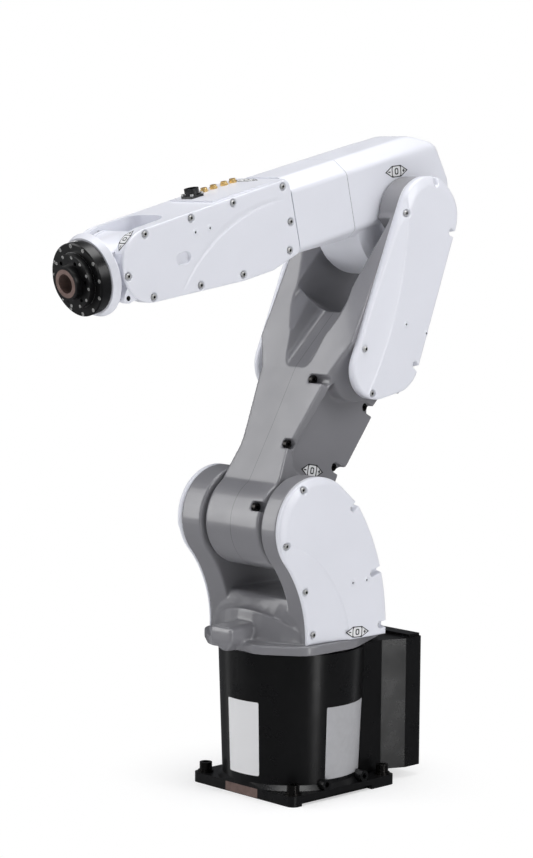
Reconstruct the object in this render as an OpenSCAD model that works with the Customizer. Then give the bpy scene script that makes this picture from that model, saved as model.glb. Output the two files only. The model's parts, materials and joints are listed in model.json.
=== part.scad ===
// Compact six-axis articulated robot arm.
// Millimetres. Origin on the turning axis of the base at the mounting plane, +Z up, +X ahead.
// Each sub-part is drawn in the frame of the link that carries it, then put at its resting pose.

/* [Kinematics] */
// Height of the shoulder axis above the mounting plane
shoulder_height = 345; // [343:1:352]
// Distance of the shoulder axis ahead of the turning axis
shoulder_offset = 50; // [47:1:53]
// Length of the upper arm between the shoulder and elbow axes
upper_arm_length = 430; // [426:1:440]
// Offset of the forearm axis above the elbow axis
elbow_offset = 45; // [43:1:47]
// Length of the forearm from the elbow axis to the wrist axis
forearm_length = 430; // [426:1:440]
// Lean of the upper arm from vertical at rest, positive forward
arm_lean = -27.3; // [-40:0.1:0]
// Slope of the forearm below horizontal at rest
forearm_slope = 13.4; // [0:0.1:20]

/* [Base] */
// Side of the square of mounting bolts
bolt_square = 160; // [158:1:168]
// Shift of the bolt square behind the turning axis
bolt_shift = 6.5; // [4:0.5:8]
// Diameter of the mounting bolt holes
bolt_hole_d = 11; // [10.5:0.1:12]
// Nominal diameter of the mounting bolts
bolt_d = 10; // [8:0.5:10]
// Margin of the base plate beyond the bolt centres
plate_margin = 12.5; // [12:0.5:15]
// Thickness of the base plate
plate_h = 13; // [12:0.5:14]
// Corner radius of the base plate
plate_corner_r = 9; // [6:0.5:11]
// Height of the relief under the long edges of the plate
relief_h = 6; // [4:0.5:7]
// Height of the top of the column above the mounting plane
column_h = 184; // [180:0.5:184]
// Radius of the column at its top
column_top_r = 93.5; // [92:0.5:95]
// Radius of the column at its foot
column_foot_r = 87; // [86:0.5:88]
// Wall of the column casting
column_wall = 9; // [7:0.5:11]
// Distance of the connector box's rear face behind the turning axis
box_rear = 160; // [156:1:166]
// Half width of the connector box at its rear
box_half_w = 80; // [76:1:84]
// Half width of the connector box at the column
box_neck_w = 65; // [62:1:68]
// Height of the connector box's underside
box_floor = 14; // [13.5:0.5:18]
// Height of the connector box's sunk top
box_top = 183; // [178:0.5:184]
// Wall of the connector box
box_wall = 4; // [3:0.5:5]

/* [Turret] */
// Gap between the column and the turret skirt
skirt_gap = 3; // [2:0.5:4]
// Height of the turret skirt
skirt_h = 12; // [10:0.5:14]
// Reach of the turret skirt ahead of the turning axis
skirt_front = 104; // [102:1:108]
// Reach of the turret skirt behind the turning axis
skirt_rear = 122; // [118:1:126]
// Radius of the cheeks about the shoulder axis
cheek_r = 63.3; // [62.5:0.1:65]
// Distance of the near cheek's inner face from the middle plane
near_cheek_in = 59.5; // [58.5:0.5:61]
// Distance of the far cheek's inner face from the middle plane
far_cheek_in = 50.5; // [50:0.5:52]
// Distance of the cheeks' outer faces from the middle plane
cheek_out = 85.5; // [84:0.5:87]
// Thickness of the shoulder covers
shoulder_cover_t = 11.5; // [10:0.5:13]
// Radius of the concave front edge of the cheeks
cheek_front_r = 151.5; // [148:0.5:155]
// Radius of the convex rear edge of the cheeks
cheek_rear_r = 270; // [264:1:276]

/* [Upper arm] */
// Radius of the shoulder hub of the upper arm
hub_r = 58.8; // [57:0.2:60]
// Half width of the hub on the near side
hub_near = 50; // [49:0.5:51]
// Half width of the hub on the far side
hub_far = 47; // [46:0.5:48]
// Half width of the arm at its waist
waist_half = 42; // [41:0.5:44]
// Half width of the sunk side panels of the arm
panel_half = 40; // [38:0.5:40.5]
// Half width of the fork at its outer faces
fork_out = 81; // [80:0.5:82]
// Distance of the fork legs' inner faces from the middle plane
fork_in = 49.5; // [49.5:0.1:51]
// Radius of the fork ends about the elbow axis
fork_end_r = 49.4; // [48:0.2:50]
// Radius of the fork's throat about the elbow axis at the middle plane
throat_r = 146; // [144:1:148]
// Radius of the throat about the elbow axis at the fork legs
throat_side_r = 130; // [128:1:132]
// Slope of the scoop's floor against the arm's front face
scoop_slope = 18; // [16:0.5:20]
// Half width of the scoop's flat floor
scoop_floor = 20; // [16:1:24]
// Slope of the scoop's side walls against its floor
scoop_wall_slope = 52; // [48:1:58]
// Thickness of the elbow covers
elbow_cover_t = 16; // [14:0.5:18]

/* [Elbow] */
// Half width of the elbow housing and the forearm
elbow_half_w = 48; // [47:0.5:48.5]
// Height of the elbow housing's top above the elbow axis
elbow_top = 93; // [92:0.5:95]
// Depth of the housing's underside below the elbow axis
elbow_bottom = 9; // [8:0.5:11]
// Radius of the elbow drum about the elbow axis
drum_r = 78; // [75:0.5:80]
// Half width of the elbow drum
drum_half = 38; // [36:0.5:40]
// Distance of the first seam ahead of the elbow axis
seam_rear = 91; // [88:1:94]
// Distance of the forearm's turning seam ahead of the elbow axis
seam_front = 190; // [186:1:194]
// Wall of the elbow housing and the extension
elbow_wall = 6; // [5:0.5:7]

/* [Forearm] */
// Radius of the forearm covers about the wrist axis
nose_r = 44; // [43:0.5:45]
// Half width of the forearm casting between its covers
forearm_half = 43; // [42.5:0.5:44]
// Distance of the near fork arm's inner face from the middle plane
wrist_near_in = 30; // [29.5:0.5:31]
// Distance of the far fork arm's inner face from the middle plane
wrist_far_in = 36; // [35.5:0.5:37]
// Reach of the wrist gap behind the wrist axis
wrist_gap = 56; // [54:1:60]

/* [Wrist] */
// Radius of the wrist body about the wrist axis
wrist_r = 38; // [36:0.5:40]
// Radius of the white front flange
front_flange_r = 50; // [48:0.5:51]
// Distance of the front flange's rear face ahead of the wrist axis
front_flange_x = 50; // [49.5:0.5:52]
// Distance of the black ring's rear face ahead of the wrist axis
ring_rear = 60; // [58.5:0.5:62]
// Length of the black ring
ring_len = 16; // [14:0.5:18]
// Outer radius of the black ring
ring_r = 44; // [43:0.2:45]
// Outer radius of the tool flange
tool_r = 32.7; // [32:0.1:32.9]
// Thickness of the tool flange's disc
tool_disc_t = 8; // [6:0.5:10]
// Length of the centring hub beyond the disc
hub_len = 9; // [6:0.5:12]
// Outer radius of the centring hub
hub_out_r = 20.4; // [19.8:0.1:21]
// Outer radius of the hollow sleeve through the wrist
sleeve_r = 17; // [16:0.1:17.5]
// Radius of the sleeve's bore
hollow_r = 11.6; // [11:0.1:13]
// Diameter of the circle of threaded holes in the tool flange
tool_pcd = 50; // [49:0.5:51]
// Diameter of the threaded holes in the tool flange
tool_hole_d = 5; // [4:0.1:5]

/* [Fits] */
// Gap between faces of parts that turn past each other
face_gap = 0.3; // [0.3:0.05:0.5]
// Radial gap of a round part that turns in a recess
turn_gap = 0.5; // [0.3:0.05:0.8]
// Radial gap of a shaft in its bearing
bearing_gap = 0.05; // [0.03:0.01:0.1]
// Radial gap of a screw in its hole
screw_gap = 0.2; // [0.1:0.05:0.3]

/* [Hidden] */
$fn = 64;
eps = 0.01;

black_paint = [0.09, 0.09, 0.1];
grey_paint = [0.52, 0.52, 0.54];
white_paint = [0.9, 0.91, 0.93];
motor_black = [0.13, 0.13, 0.14];
steel = [0.7, 0.7, 0.71];
dark_steel = [0.16, 0.15, 0.15];
brass = [0.8, 0.62, 0.3];
bronze = [0.45, 0.36, 0.34];

// Base
foot_fillet = 6;
column_floor = 8;
plate_half = bolt_square / 2 + plate_margin;
plate_back = -bolt_shift - plate_half;
plate_front = -bolt_shift + plate_half;
bore_r = column_foot_r - column_wall;
ledge_z = column_h - 14;
ledge_r = bore_r + 4;
bolt_points = [for (sx = [-1, 1], sy = [-1, 1]) [sx * bolt_square / 2 - bolt_shift, sy * bolt_square / 2]];
washer_t = 2.5;
washer_r = bolt_d;
bolt_head_h = bolt_d;
lug_points = [26, -41];
lug_z = plate_h + 6.5;
lug_r = 7;
box_step_x = -98;
box_flare_x = -130;
lip_w = 20;
lip_h = 3.5;
box_gap = 0.2;
panel_t = 3;
panel_half_w = box_half_w - box_wall - 2;
panel_z0 = box_floor + box_wall + 2;
panel_z1 = box_top - box_wall - 2;
socket_len = 12;

// First joint
reducer_top = column_h - 1;
flange1_r = 50;
flange1_h = 12;
motor1_top = ledge_z - 30;
motor1_len = 95;

// Turret
skirt_z = column_h + skirt_gap;
skirt_top = skirt_z + skirt_h;
skirt_half_w = cheek_out + shoulder_cover_t;
cheek_bottom = skirt_top - shoulder_height;
front_arc_dir = -40.8;
rear_arc_dir = -43.1;
rear_step = 5.8;
rear_start = 143;
front_arc_c = (cheek_r + cheek_front_r) * [cos(front_arc_dir), sin(front_arc_dir)];
rear_arc_c = (cheek_rear_r - cheek_r - rear_step) * [cos(rear_arc_dir), sin(rear_arc_dir)];
saddle_z = 254;
saddle_x = 58;
saddle_rear_x = -78;
saddle_rear_z = 234;
arch_half = 84;
shoulder_ring_r = 97;
shoulder_ring_h = 18;
arch_x = 82;
arch_back = 23.5;
arch_z = 236;
arch_r = 147;
foot_x = 98;
foot_back = 39;
nose_x = 124;
nose_half = 20;
nose_top = skirt_top + 21;

// Covers
cover_wall = 3;
crease_depth = 3;
crease_run = 12;
cover_roof = cover_wall + crease_depth;
boss_r = 3.6;
boss_h = 0.8;
boss_hole_r = 1.2;
boss_hole_depth = 2;
cover_chamfer = 4;
head_r = 3.5;
head_h = 4;
head_sink = 5;
seat_r = 5.2;
post_r = 7;
shank_r = 2;
shank_len = 9;
elbow_shank_len = 4;

// Shoulder drive
motor2_r = 38;
motor2_len = 78;
barrel_bore_r = 41;
reducer2_r = 50;
reducer2_t = 22;
flange2_out = 48;
stub2_r = 20;
bearing2_r = 40;
bearing2_t = 22;

// Upper arm
barrel_edge = 3.5;
scoop_start = [41.5, 192];
scoop_depth = 70;
motor3_at = [-22, 240];
motor3_r = 28;
motor3_in = -15;
arm_screw_y = 31;
arm_screw_z = [0, 90, 180];
arm_screw_x = [53, 40.5, 37];
arm_screw_back_x = [-49, -47, -62];
arm_head_r = 5;
arm_head_h = 5.5;
arm_shank_r = 2.5;
arm_slot_r = 6.2;
elbow_circles = [[0, upper_arm_length, 50], [-26, 243, 45], [-4, 217, 38]];
collar = 6;
fork_swing = 34.5;

// Elbow drive
reducer3_r = 40;
reducer3_t = 27;
flange3_r = 32;
flange3_t = 5;
stub3_r = 15;
bearing3_r = 25;
bearing3_t = 18;
seat3_t = 3;

// Forearm drive
seam_gap = face_gap;
reducer4_r = 38;
reducer4_t = 24;
flange4_r = 30;
flange4_t = 10;
motor4_r = 29;
motor4_len = 100;
forearm_rear = seam_front - forearm_length;
forearm_top = elbow_top - elbow_offset;
fore_cover_t = elbow_half_w - forearm_half;
fore_cover_wall = 2.5;
fore_cover_roof = 3;
fore_chamfer = 3;
fore_sink = 3;
fore_shank_len = 5;
service_half = 38;
bay_front = -100;
bay_rear = forearm_rear + 18;
bay_floor = -26;
bay_top = 28;
signal_at = [forearm_rear + 105, -15];
port_x = [for (x = [77, 61, 43, 28]) forearm_rear + x];
port_y = -24;

// Wrist drive
reducer5_r = 34;
flange5_r = 25;
flange5_t = 5;
wrist_side = wrist_near_in - 1;
cap_t = 6;
stub5_r = 12;
bearing5_r = 22;
reducer6_r = 33;
reducer6_x = 22;
ring_front = ring_rear + ring_len;
tool_face = ring_front + tool_disc_t;
tool_hole_count = 6;
motor6_r = 20;
motor6_len = 48;
reducer6_small_r = 26;
reducer6_step = 48;
sleeve_x = ring_rear;
cap_r = 39;
cap_ring_r = 34.5;
ring_screw_r = 40.6;
tool_screw_r = 30;

shoulder_crease = [102, -167, 161];
shoulder_bosses = [[-61, -74], [-86, -73]];
elbow_crease = [436, 223, 440];
elbow_bosses = [[-22.5, 288], [-62, 294]];
crescent_outer = [-191.4, -164.9, 196.6];
crescent_inner = [-203.2, -203.6, 228.1];
crescent_depth = 1.2;
pocket_at = [-50, -4.5];
pocket_half = [9.5, 7.5];
pocket_depth = 1.8;
forearm_bosses = [[-75, 20.5], [-98.8, 19.9]];
shoulder_screws = [[26, 49.5], [53, -17.3], [16.5, -78], [2, -133], [-60, 20], [-97, -66], [-112, -133]];
elbow_screws = [[42, upper_arm_length - 18], [12, upper_arm_length + 40], [-43, upper_arm_length - 2],
                [-62, 250], [-9, 186], [26, 231]];
forearm_screws = [[2, 37.6], [37.6, -4], [5, -37.3], [-72, 38.5], [-70, -43],
                  for (s = [[98, 40], [100, -48], [13, 40], [9, -5], [18, -39]]) [forearm_rear + s.x, s.y]];

// Arc of radius r about c from angle a0 to a1, in n steps, its last point left out if open
function arc(c, r, a0, a1, n = 8, open = false) =
  [for (i = [0:open ? n - 1 : n]) let(a = a0 + (a1 - a0) * i / n) c + r * [cos(a), sin(a)]];

// One corner b of a polygon, between a and c, rounded to radius r
function corner(a, b, c, r, n = 5) = r <= 0 ? [b] : let(
  u = (a - b) / norm(a - b),
  v = (c - b) / norm(c - b),
  half = acos(u * v) / 2,
  o = b + (u + v) / norm(u + v) * r / sin(half),
  p = b + u * r / tan(half) - o,
  q = b + v * r / tan(half) - o,
  a0 = atan2(p.y, p.x),
  turn = (atan2(q.y, q.x) - a0 + 540) % 360 - 180
) arc(o, r, a0, a0 + turn, n);

// Polygon p with every corner rounded, r is one radius or a list of one radius per corner
function rounded(p, r, n = 5) = let(m = len(p)) [
  for (i = [0:m - 1]) each corner(p[(i + m - 1) % m], p[i], p[(i + 1) % m], is_list(r) ? r[i] : r, n)];

// Mirror image of the half outline p about its second axis, in reverse order
function mirrored(p) = [for (i = [len(p) - 1:-1:0]) [-p[i].x, p[i].y]];

// Whole outline from its half p
function both_sides(p) = concat(p, mirrored(p));

// Direction of the outside of the belt that runs from circle p to circle q, circles as [x, y, r]
function belt_side(p, q) = let(d = [q.x - p.x, q.y - p.y]) atan2(d.y, d.x) - acos((p.z - q.z) / norm(d));

// Outline of a belt round circles given anticlockwise, drawn in by inset
function belt(c, inset = 0, n = 12) = let(m = len(c)) [
  for (k = [0:m - 1])
    let(a0 = belt_side(c[(k + m - 1) % m], c[k]), a1 = belt_side(c[k], c[(k + 1) % m]))
      each arc([c[k].x, c[k].y], c[k].z - inset, a0, a0 + (a1 - a0 + 720) % 360, n)];

// Outline of the cheeks and shoulder covers about the shoulder axis, drawn in by inset
function cheek_outline(inset = 0) = let(
  rear_r = cheek_rear_r - inset,
  front_r = cheek_front_r + inset,
  hub = cheek_r - inset,
  bottom = cheek_bottom + inset,
  start = rear_arc_c + rear_r * [cos(rear_start), sin(rear_start)],
  hub_end = atan2(start.y, start.x) - acos(hub / norm(start)),
  rear_end = 180 - asin((bottom - rear_arc_c.y) / rear_r),
  front_end = 180 - asin((bottom - front_arc_c.y) / front_r)
) concat(
  arc([0, 0], hub, front_arc_dir, hub_end, 24),
  arc(rear_arc_c, rear_r, rear_start, rear_end, 9),
  arc(front_arc_c, front_r, front_end, 180 + front_arc_dir, 12, open = true));

forearm_circles = [[0, 0, nose_r], [forearm_rear + 7, forearm_top - 7, 7], [forearm_rear + 7, -40, 7],
                   [forearm_rear + 51, -46, 10], [forearm_rear + 99, -46, 10]];

// Cross-section of the elbow housing and extension, with its wall drawn in by inset
function elbow_section(inset, bottom) = let(w = elbow_half_w - inset, top = elbow_top - inset)
  rounded(both_sides([[31 - inset / 2, bottom + inset], [w, bottom + 12 + inset / 2],
                      [w, top - 17 + inset / 2], [29 - inset / 2, top]]), 8 - inset / 2, 4);

// Side outline of the elbow housing, with its wall drawn in by inset
function elbow_side(inset) = rounded([
  [seam_rear, -elbow_bottom + inset], [seam_rear, elbow_top - inset], [-51, elbow_top - inset],
  [-80 + inset, 77 - inset], [-95 + inset, 25], [-90 + inset, -elbow_bottom + inset]],
  [0, 0, 20, 20, 20, 12], 5);

module rod_x(r, x0, x1) translate([x0, 0, 0]) rotate([0, 90, 0]) cylinder(r = r, h = x1 - x0);

module rod_y(r, y0, y1) translate([0, y1, 0]) rotate([90, 0, 0]) cylinder(r = r, h = y1 - y0);

// Side outline in X and Z, drawn out along Y
module slab_y(y0, y1) translate([0, y1, 0]) rotate([90, 0, 0]) linear_extrude(y1 - y0) children();

// Cross-section in Y and Z, drawn out along X
module slab_x(x0, x1) translate([x0, 0, 0]) rotate([90, 0, 90]) linear_extrude(x1 - x0) children();

// Outward from the plane at distance y on the left (+Y) or right (-Y) side
module on_left(y) mirror([0, 1, 0]) on_right(y) children();
module on_right(y) translate([0, -y, 0]) rotate([90, 0, 0]) children();

module in_shoulder() translate([shoulder_offset, 0, shoulder_height]) children();
module in_arm() in_shoulder() rotate([0, arm_lean, 0]) children();
module in_elbow() in_arm() translate([0, 0, upper_arm_length]) rotate([0, forearm_slope - arm_lean, 0]) children();
module in_fore() in_elbow() translate([forearm_length, 0, elbow_offset]) children();

// Solid round a ring of curves with as many points each, its ends closed by their first and last points
module skin(curves) {
  n = len(curves[0]);
  m = len(curves);
  polyhedron(
    points = [for (c = curves, p = c) p],
    faces = concat(
      [[for (j = [m - 1:-1:0]) j * n]],
      [for (j = [0:m - 1], i = [0:n - 2]) let(k = (j + 1) % m) [k * n + i, k * n + i + 1, j * n + i + 1, j * n + i]],
      [[for (j = [0:m - 1]) j * n + n - 1]]),
    convexity = 6);
}

// Solid through a stack of rings with as many points each, given as [height, points]
module loft(rings) {
  n = len(rings[0][1]);
  m = len(rings);
  polyhedron(
    points = [for (r = rings, p = r[1]) [p.x, p.y, r[0]]],
    faces = concat(
      [[for (i = [0:n - 1]) i]],
      [for (j = [0:m - 2], i = [0:n - 1]) let(k = (i + 1) % n) [j * n + i, (j + 1) * n + i, (j + 1) * n + k, j * n + k]],
      [[for (i = [n - 1:-1:0]) (m - 1) * n + i]]),
    convexity = 6);
}

// Moulded cover with a chamfered rim, a hollow back with a post for each screw, a sunk seat on each post and
// round bosses. Its children are cut out of its outer face.
module moulded_cover(outer, rim, inner, t, screws, bosses, roof = cover_roof, chamfer = cover_chamfer,
  sink = head_sink) difference() {
  union() {
    loft([[0, outer], [t - chamfer, outer], [t, rim]]);
    for (b = bosses) translate([b.x, b.y, t - eps]) cylinder(r = boss_r, h = boss_h + eps);
  }
  translate([0, 0, -1]) linear_extrude(t - roof + 1) difference() {
    polygon(inner);
    for (s = screws) translate(s) circle(r = post_r);
  }
  for (s = screws) translate([s.x, s.y, 0]) {
    translate([0, 0, t - sink]) cylinder(r = seat_r, h = sink + 1);
    translate([0, 0, -1]) cylinder(r = shank_r + screw_gap, h = t);
  }
  for (b = bosses) translate([b.x, b.y, t - boss_hole_depth]) cylinder(r = boss_hole_r, h = 2 * boss_hole_depth);
  children();
}

// Cut that lowers a cover t thick inside a large circle [x, y, r], with a soft slope along the circle
module lowered(circle, t) translate([circle.x, circle.y, t - crease_depth])
  cylinder(r1 = circle.z - crease_run, r2 = circle.z, h = crease_depth + eps, $fn = 128);

// Button-headed screws of a cover that is t thick, with heads sunk by sink and shanks reaching depth behind it
module cover_screws(screws, t, sink = head_sink, depth = shank_len) for (s = screws)
  translate([s.x, s.y, t - sink]) difference() {
    union() {
      cylinder(r = head_r, h = head_h);
      translate([0, 0, -t + sink - depth]) cylinder(r = shank_r, h = t - sink + depth + eps);
    }
    translate([0, 0, head_h - 2]) cylinder(r = head_r / 2, h = 3, $fn = 6);
  }

// Holes for the screws of a cover, drilled into what carries it
module cover_holes(screws, depth = shank_len) for (s = screws)
  translate([s.x, s.y, -depth - 1]) cylinder(r = shank_r + screw_gap, h = depth + 1 + eps);

// Servo motor along +Z with a square flange, a round body and a connector cap
module motor(r, len) {
  linear_extrude(8) polygon(rounded([[-r, -r], [r, -r], [r, r], [-r, r]], r * 0.45, 5));
  cylinder(r = r * 0.93, h = len - 18);
  translate([0, 0, len - 18 - eps]) cylinder(r = r * 0.8, h = 18);
}

// Ring of count screws with socket heads on a circle of radius ring, heads from z up
module ring_screws(ring, count, start, r, h, len) for (i = [0:count - 1])
  rotate([0, 0, start + i * 360 / count]) translate([ring, 0, 0]) difference() {
    union() {
      cylinder(r = r, h = h);
      translate([0, 0, -len]) cylinder(r = r * 0.6, h = len + eps);
    }
    translate([0, 0, h / 2]) cylinder(r = r * 0.5, h = h, $fn = 6);
  }

module ring_holes(ring, count, start, r, z0, z1) for (i = [0:count - 1])
  rotate([0, 0, start + i * 360 / count]) translate([ring, 0, z0]) cylinder(r = r, h = z1 - z0);

module plate_plan() polygon(rounded([[plate_front, -plate_half], [plate_front, plate_half],
  [plate_back, plate_half], [plate_back, -plate_half]], plate_corner_r));

module base_casting() color(black_paint) difference() {
  union() {
    linear_extrude(plate_h) plate_plan();
    intersection() {
      translate([0, 0, plate_h - eps]) cylinder(r1 = column_foot_r + foot_fillet, r2 = column_foot_r, h = foot_fillet);
      linear_extrude(plate_h + foot_fillet) plate_plan();
    }
    translate([0, 0, plate_h - eps]) cylinder(r1 = column_foot_r, r2 = column_top_r, h = column_h - plate_h + eps);
    for (x = lug_points) translate([x, 0, lug_z]) rod_y(lug_r, column_foot_r - 10, plate_half);
  }
  translate([0, 0, column_floor]) cylinder(r = bore_r, h = column_h);
  translate([0, 0, ledge_z]) cylinder(r = ledge_r, h = column_h);
  for (p = bolt_points) translate([p.x, p.y, -1]) cylinder(d = bolt_hole_d, h = plate_h + 2);
  for (x = lug_points) translate([x, 0, lug_z]) rod_y(lug_r / 2, plate_half - 14, plate_half + 1);
  for (s = [-1, 1]) translate([-55, s > 0 ? plate_half - 8.5 : -plate_half - 1, -1]) cube([125, 9.5, relief_h + 1]);
}

module base_washers() color(dark_steel) for (p = bolt_points) translate([p.x, p.y, plate_h]) difference() {
  cylinder(r = washer_r, h = washer_t);
  translate([0, 0, -1]) cylinder(d = bolt_hole_d, h = washer_t + 2);
}

module base_bolts() color(dark_steel) for (p = bolt_points) translate([p.x, p.y, plate_h + washer_t]) difference() {
  union() {
    cylinder(d = 1.6 * bolt_d, h = bolt_head_h);
    translate([0, 0, -plate_h - washer_t + 1]) cylinder(d = bolt_d, h = plate_h + washer_t);
  }
  translate([0, 0, bolt_head_h / 2]) cylinder(d = 0.92 * bolt_d, h = bolt_head_h, $fn = 6);
}

// Plan of the connector box, drawn in by inset and cut off at the distance rear
function box_plan(inset, rear) = rounded([
  [-60, -box_neck_w + inset], [-60, box_neck_w - inset], [box_step_x, box_neck_w - inset],
  [box_flare_x, box_half_w - inset], [-rear, box_half_w - inset], [-rear, -box_half_w + inset],
  [box_flare_x, -box_half_w + inset], [box_step_x, -box_neck_w + inset]],
  [0, 0, 5, 5, 5, 5, 5, 5], 3);

module column_space() translate([0, 0, plate_h]) {
  cylinder(r1 = column_foot_r + box_gap, r2 = column_top_r + box_gap, h = column_h - plate_h);
  cylinder(r1 = column_foot_r + foot_fillet + 2 * box_gap, r2 = column_foot_r + 2 * box_gap, h = foot_fillet + 2 * box_gap);
}

module connector_box() color(black_paint) difference() {
  union() {
    translate([0, 0, box_floor]) linear_extrude(box_top - box_floor) polygon(box_plan(0, box_rear));
    translate([-box_rear + 1, -box_half_w + 5, box_top - eps]) cube([lip_w, 2 * box_half_w - 10, lip_h]);
  }
  column_space();
  translate([0, 0, box_floor + box_wall]) linear_extrude(box_top - box_floor - 2 * box_wall)
    polygon(box_plan(box_wall, box_rear - 8));
  translate([-box_rear - 1, -panel_half_w + 4, panel_z0 + 4]) cube([12, 2 * panel_half_w - 8, panel_z1 - panel_z0 - 8]);
  translate([-box_rear - 1, -panel_half_w - 0.2, panel_z0 - 0.2])
    cube([panel_t + 1, 2 * panel_half_w + 0.4, panel_z1 - panel_z0 + 0.4]);
}

module in_panel() translate([-box_rear, 0, 0]) children();

module connector_panel() color(steel) in_panel() difference() {
  translate([0, -panel_half_w, panel_z0]) cube([panel_t, 2 * panel_half_w, panel_z1 - panel_z0]);
  for (s = socket_list()) translate([0, s[0], s[1]]) rod_x(s[2] - 3, -1, panel_t + 1);
  for (y = [-1, 1], z = [panel_z0 + 6, panel_z1 - 6]) translate([0, y * (panel_half_w - 6), z]) rod_x(2.2, -1, panel_t + 1);
}

// Sockets on the panel as [y, z, radius]
function socket_list() = [[-36, 130, 21], [36, 130, 21], [-40, 62, 11], [-12, 62, 11], [16, 62, 8], [42, 62, 8]];

module connector_sockets() color(dark_steel) in_panel() for (s = socket_list()) translate([0, s[0], s[1]]) difference() {
  union() {
    rod_x(s[2], -3, 0);
    rod_x(s[2] - 2, -socket_len, -2);
    rod_x(s[2] - 3.2, -1, panel_t + 6);
  }
  rod_x(s[2] - 4, -socket_len - 1, -4);
}

module panel_screws() color(steel) in_panel()
  for (y = [-1, 1], z = [panel_z0 + 6, panel_z1 - 6]) translate([0, y * (panel_half_w - 6), z]) {
    rod_x(3.5, -2.5, 0);
    rod_x(2, -1, panel_t);
  }

module j1_motor() color(motor_black) translate([0, 0, motor1_top]) mirror([0, 0, 1]) motor(42, motor1_len);

module j1_reducer() color(steel) difference() {
  union() {
    translate([0, 0, motor1_top]) cylinder(r = bore_r - 4, h = ledge_z - motor1_top + eps);
    translate([0, 0, ledge_z]) cylinder(r = ledge_r - screw_gap, h = reducer_top - ledge_z);
  }
  translate([0, 0, skirt_z - flange1_h - face_gap]) cylinder(r = flange1_r + turn_gap, h = 50);
}

module j1_output_flange() color(steel) translate([0, 0, skirt_z - flange1_h]) cylinder(r = flange1_r, h = flange1_h);

// Curve from cheek to cheek at the share t of the way up the concave front, from the foot to the arched ridge
function front_curve(t, n = 12) = [for (i = [0:n]) let(
  y = arch_half * (2 * i / n - 1),
  s = (y / arch_half) ^ 2,
  ridge = [arch_x - arch_back * s, arch_z - arch_r + sqrt(arch_r * arch_r - y * y)],
  foot = [foot_x - foot_back * s, skirt_top - 1]
) [foot.x + (ridge.x - foot.x) * sin(90 * t), y, foot.y + (ridge.y - foot.y) * (1 - cos(90 * t))]];

function level_curve(x, z, n = 12) = [for (i = [0:n]) [x, arch_half * (2 * i / n - 1), z]];

// Curve between the ridge at t = 0 and the saddle edge at t = 1, flat at both ends
function apron_curve(t) = let(a = front_curve(1), b = level_curve(saddle_x, saddle_z - 0.3), s = t * t * (3 - 2 * t))
  [for (i = [0:len(a) - 1]) [a[i].x + (b[i].x - a[i].x) * t, a[i].y, a[i].z + (b[i].z - a[i].z) * s]];

// Front of the turret between the cheeks: a sloped apron down to an arched ridge, and a concave face below it
module turret_front() skin(concat(
  [level_curve(saddle_x - 18, skirt_top - 1)],
  [for (k = [0:5]) front_curve(k / 5)],
  [for (k = [1:6]) apron_curve(k / 6)],
  [level_curve(saddle_x - 18, saddle_z - 1)]));

// Stop in front of the skirt, with a keel below
module turret_nose() intersection() {
  slab_y(-nose_half, nose_half) polygon(rounded([[70, skirt_z], [nose_x - 6, skirt_z], [nose_x, skirt_z + 12],
    [nose_x, nose_top - 2], [70, nose_top + 4]], [0, 2, 4, 3, 0]));
  slab_x(60, nose_x + 1) polygon(rounded([[-4, skirt_z - 1], [4, skirt_z - 1], [nose_half, skirt_z + 13],
    [nose_half, nose_top + 1], [-nose_half, nose_top + 1], [-nose_half, skirt_z + 13]], [0, 0, 4, 9, 9, 4]));
}

module turret_casting() color(grey_paint) difference() {
  union() {
    translate([0, 0, skirt_z]) linear_extrude(skirt_h) polygon(rounded([
      [skirt_front, -44], [skirt_front, 44], [64, skirt_half_w], [-18, skirt_half_w - 1],
      [-skirt_rear + 8, 52], [-skirt_rear, 0], [-skirt_rear + 8, -52], [-18, 1 - skirt_half_w],
      [64, -skirt_half_w]], [40, 40, 34, 60, 40, 40, 40, 60, 34], 7));
    turret_front();
    turret_nose();
    slab_y(-far_cheek_in - 1, near_cheek_in + 1) polygon(rounded([[saddle_x - 2, skirt_top - 1],
      [saddle_x - 2, saddle_z], [saddle_rear_x + 38, saddle_z], [saddle_rear_x, saddle_rear_z],
      [saddle_rear_x, skirt_top - 1]], [0, 0, 30, 12, 0]));
    intersection() {
      translate([0, 0, skirt_top - 1]) cylinder(r1 = shoulder_ring_r, r2 = arch_half, h = shoulder_ring_h, $fn = 96);
      translate([-shoulder_ring_r, -arch_half, 0]) cube([shoulder_ring_r, 2 * arch_half, skirt_top + 60]);
    }
    in_shoulder() {
      slab_y(near_cheek_in, cheek_out) polygon(cheek_outline());
      slab_y(-cheek_out, -far_cheek_in) polygon(cheek_outline());
    }
  }
  in_shoulder() {
    rod_y(reducer2_r + bearing_gap, near_cheek_in - 2, cheek_out + 1);
    rod_y(bearing2_r + bearing_gap, -cheek_out - 1, -far_cheek_in + 2);
    on_left(cheek_out) cover_holes(shoulder_screws);
    on_right(cheek_out) cover_holes(shoulder_screws);
  }
}

module shoulder_cover() moulded_cover(cheek_outline(), cheek_outline(cover_chamfer), cheek_outline(cover_wall),
  shoulder_cover_t, shoulder_screws, shoulder_bosses) lowered(shoulder_crease, shoulder_cover_t);

module shoulder_cover_left() color(white_paint) in_shoulder() on_left(cheek_out) shoulder_cover();
module shoulder_cover_right() color(white_paint) in_shoulder() on_right(cheek_out) shoulder_cover();

module shoulder_cover_screws() color(steel) in_shoulder() {
  on_left(cheek_out) cover_screws(shoulder_screws, shoulder_cover_t);
  on_right(cheek_out) cover_screws(shoulder_screws, shoulder_cover_t);
}

module j2_reducer() color(steel) in_shoulder() difference() {
  rod_y(reducer2_r, near_cheek_in, near_cheek_in + reducer2_t);
  rod_y(9, near_cheek_in + 8, near_cheek_in + reducer2_t + 1);
}

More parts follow.
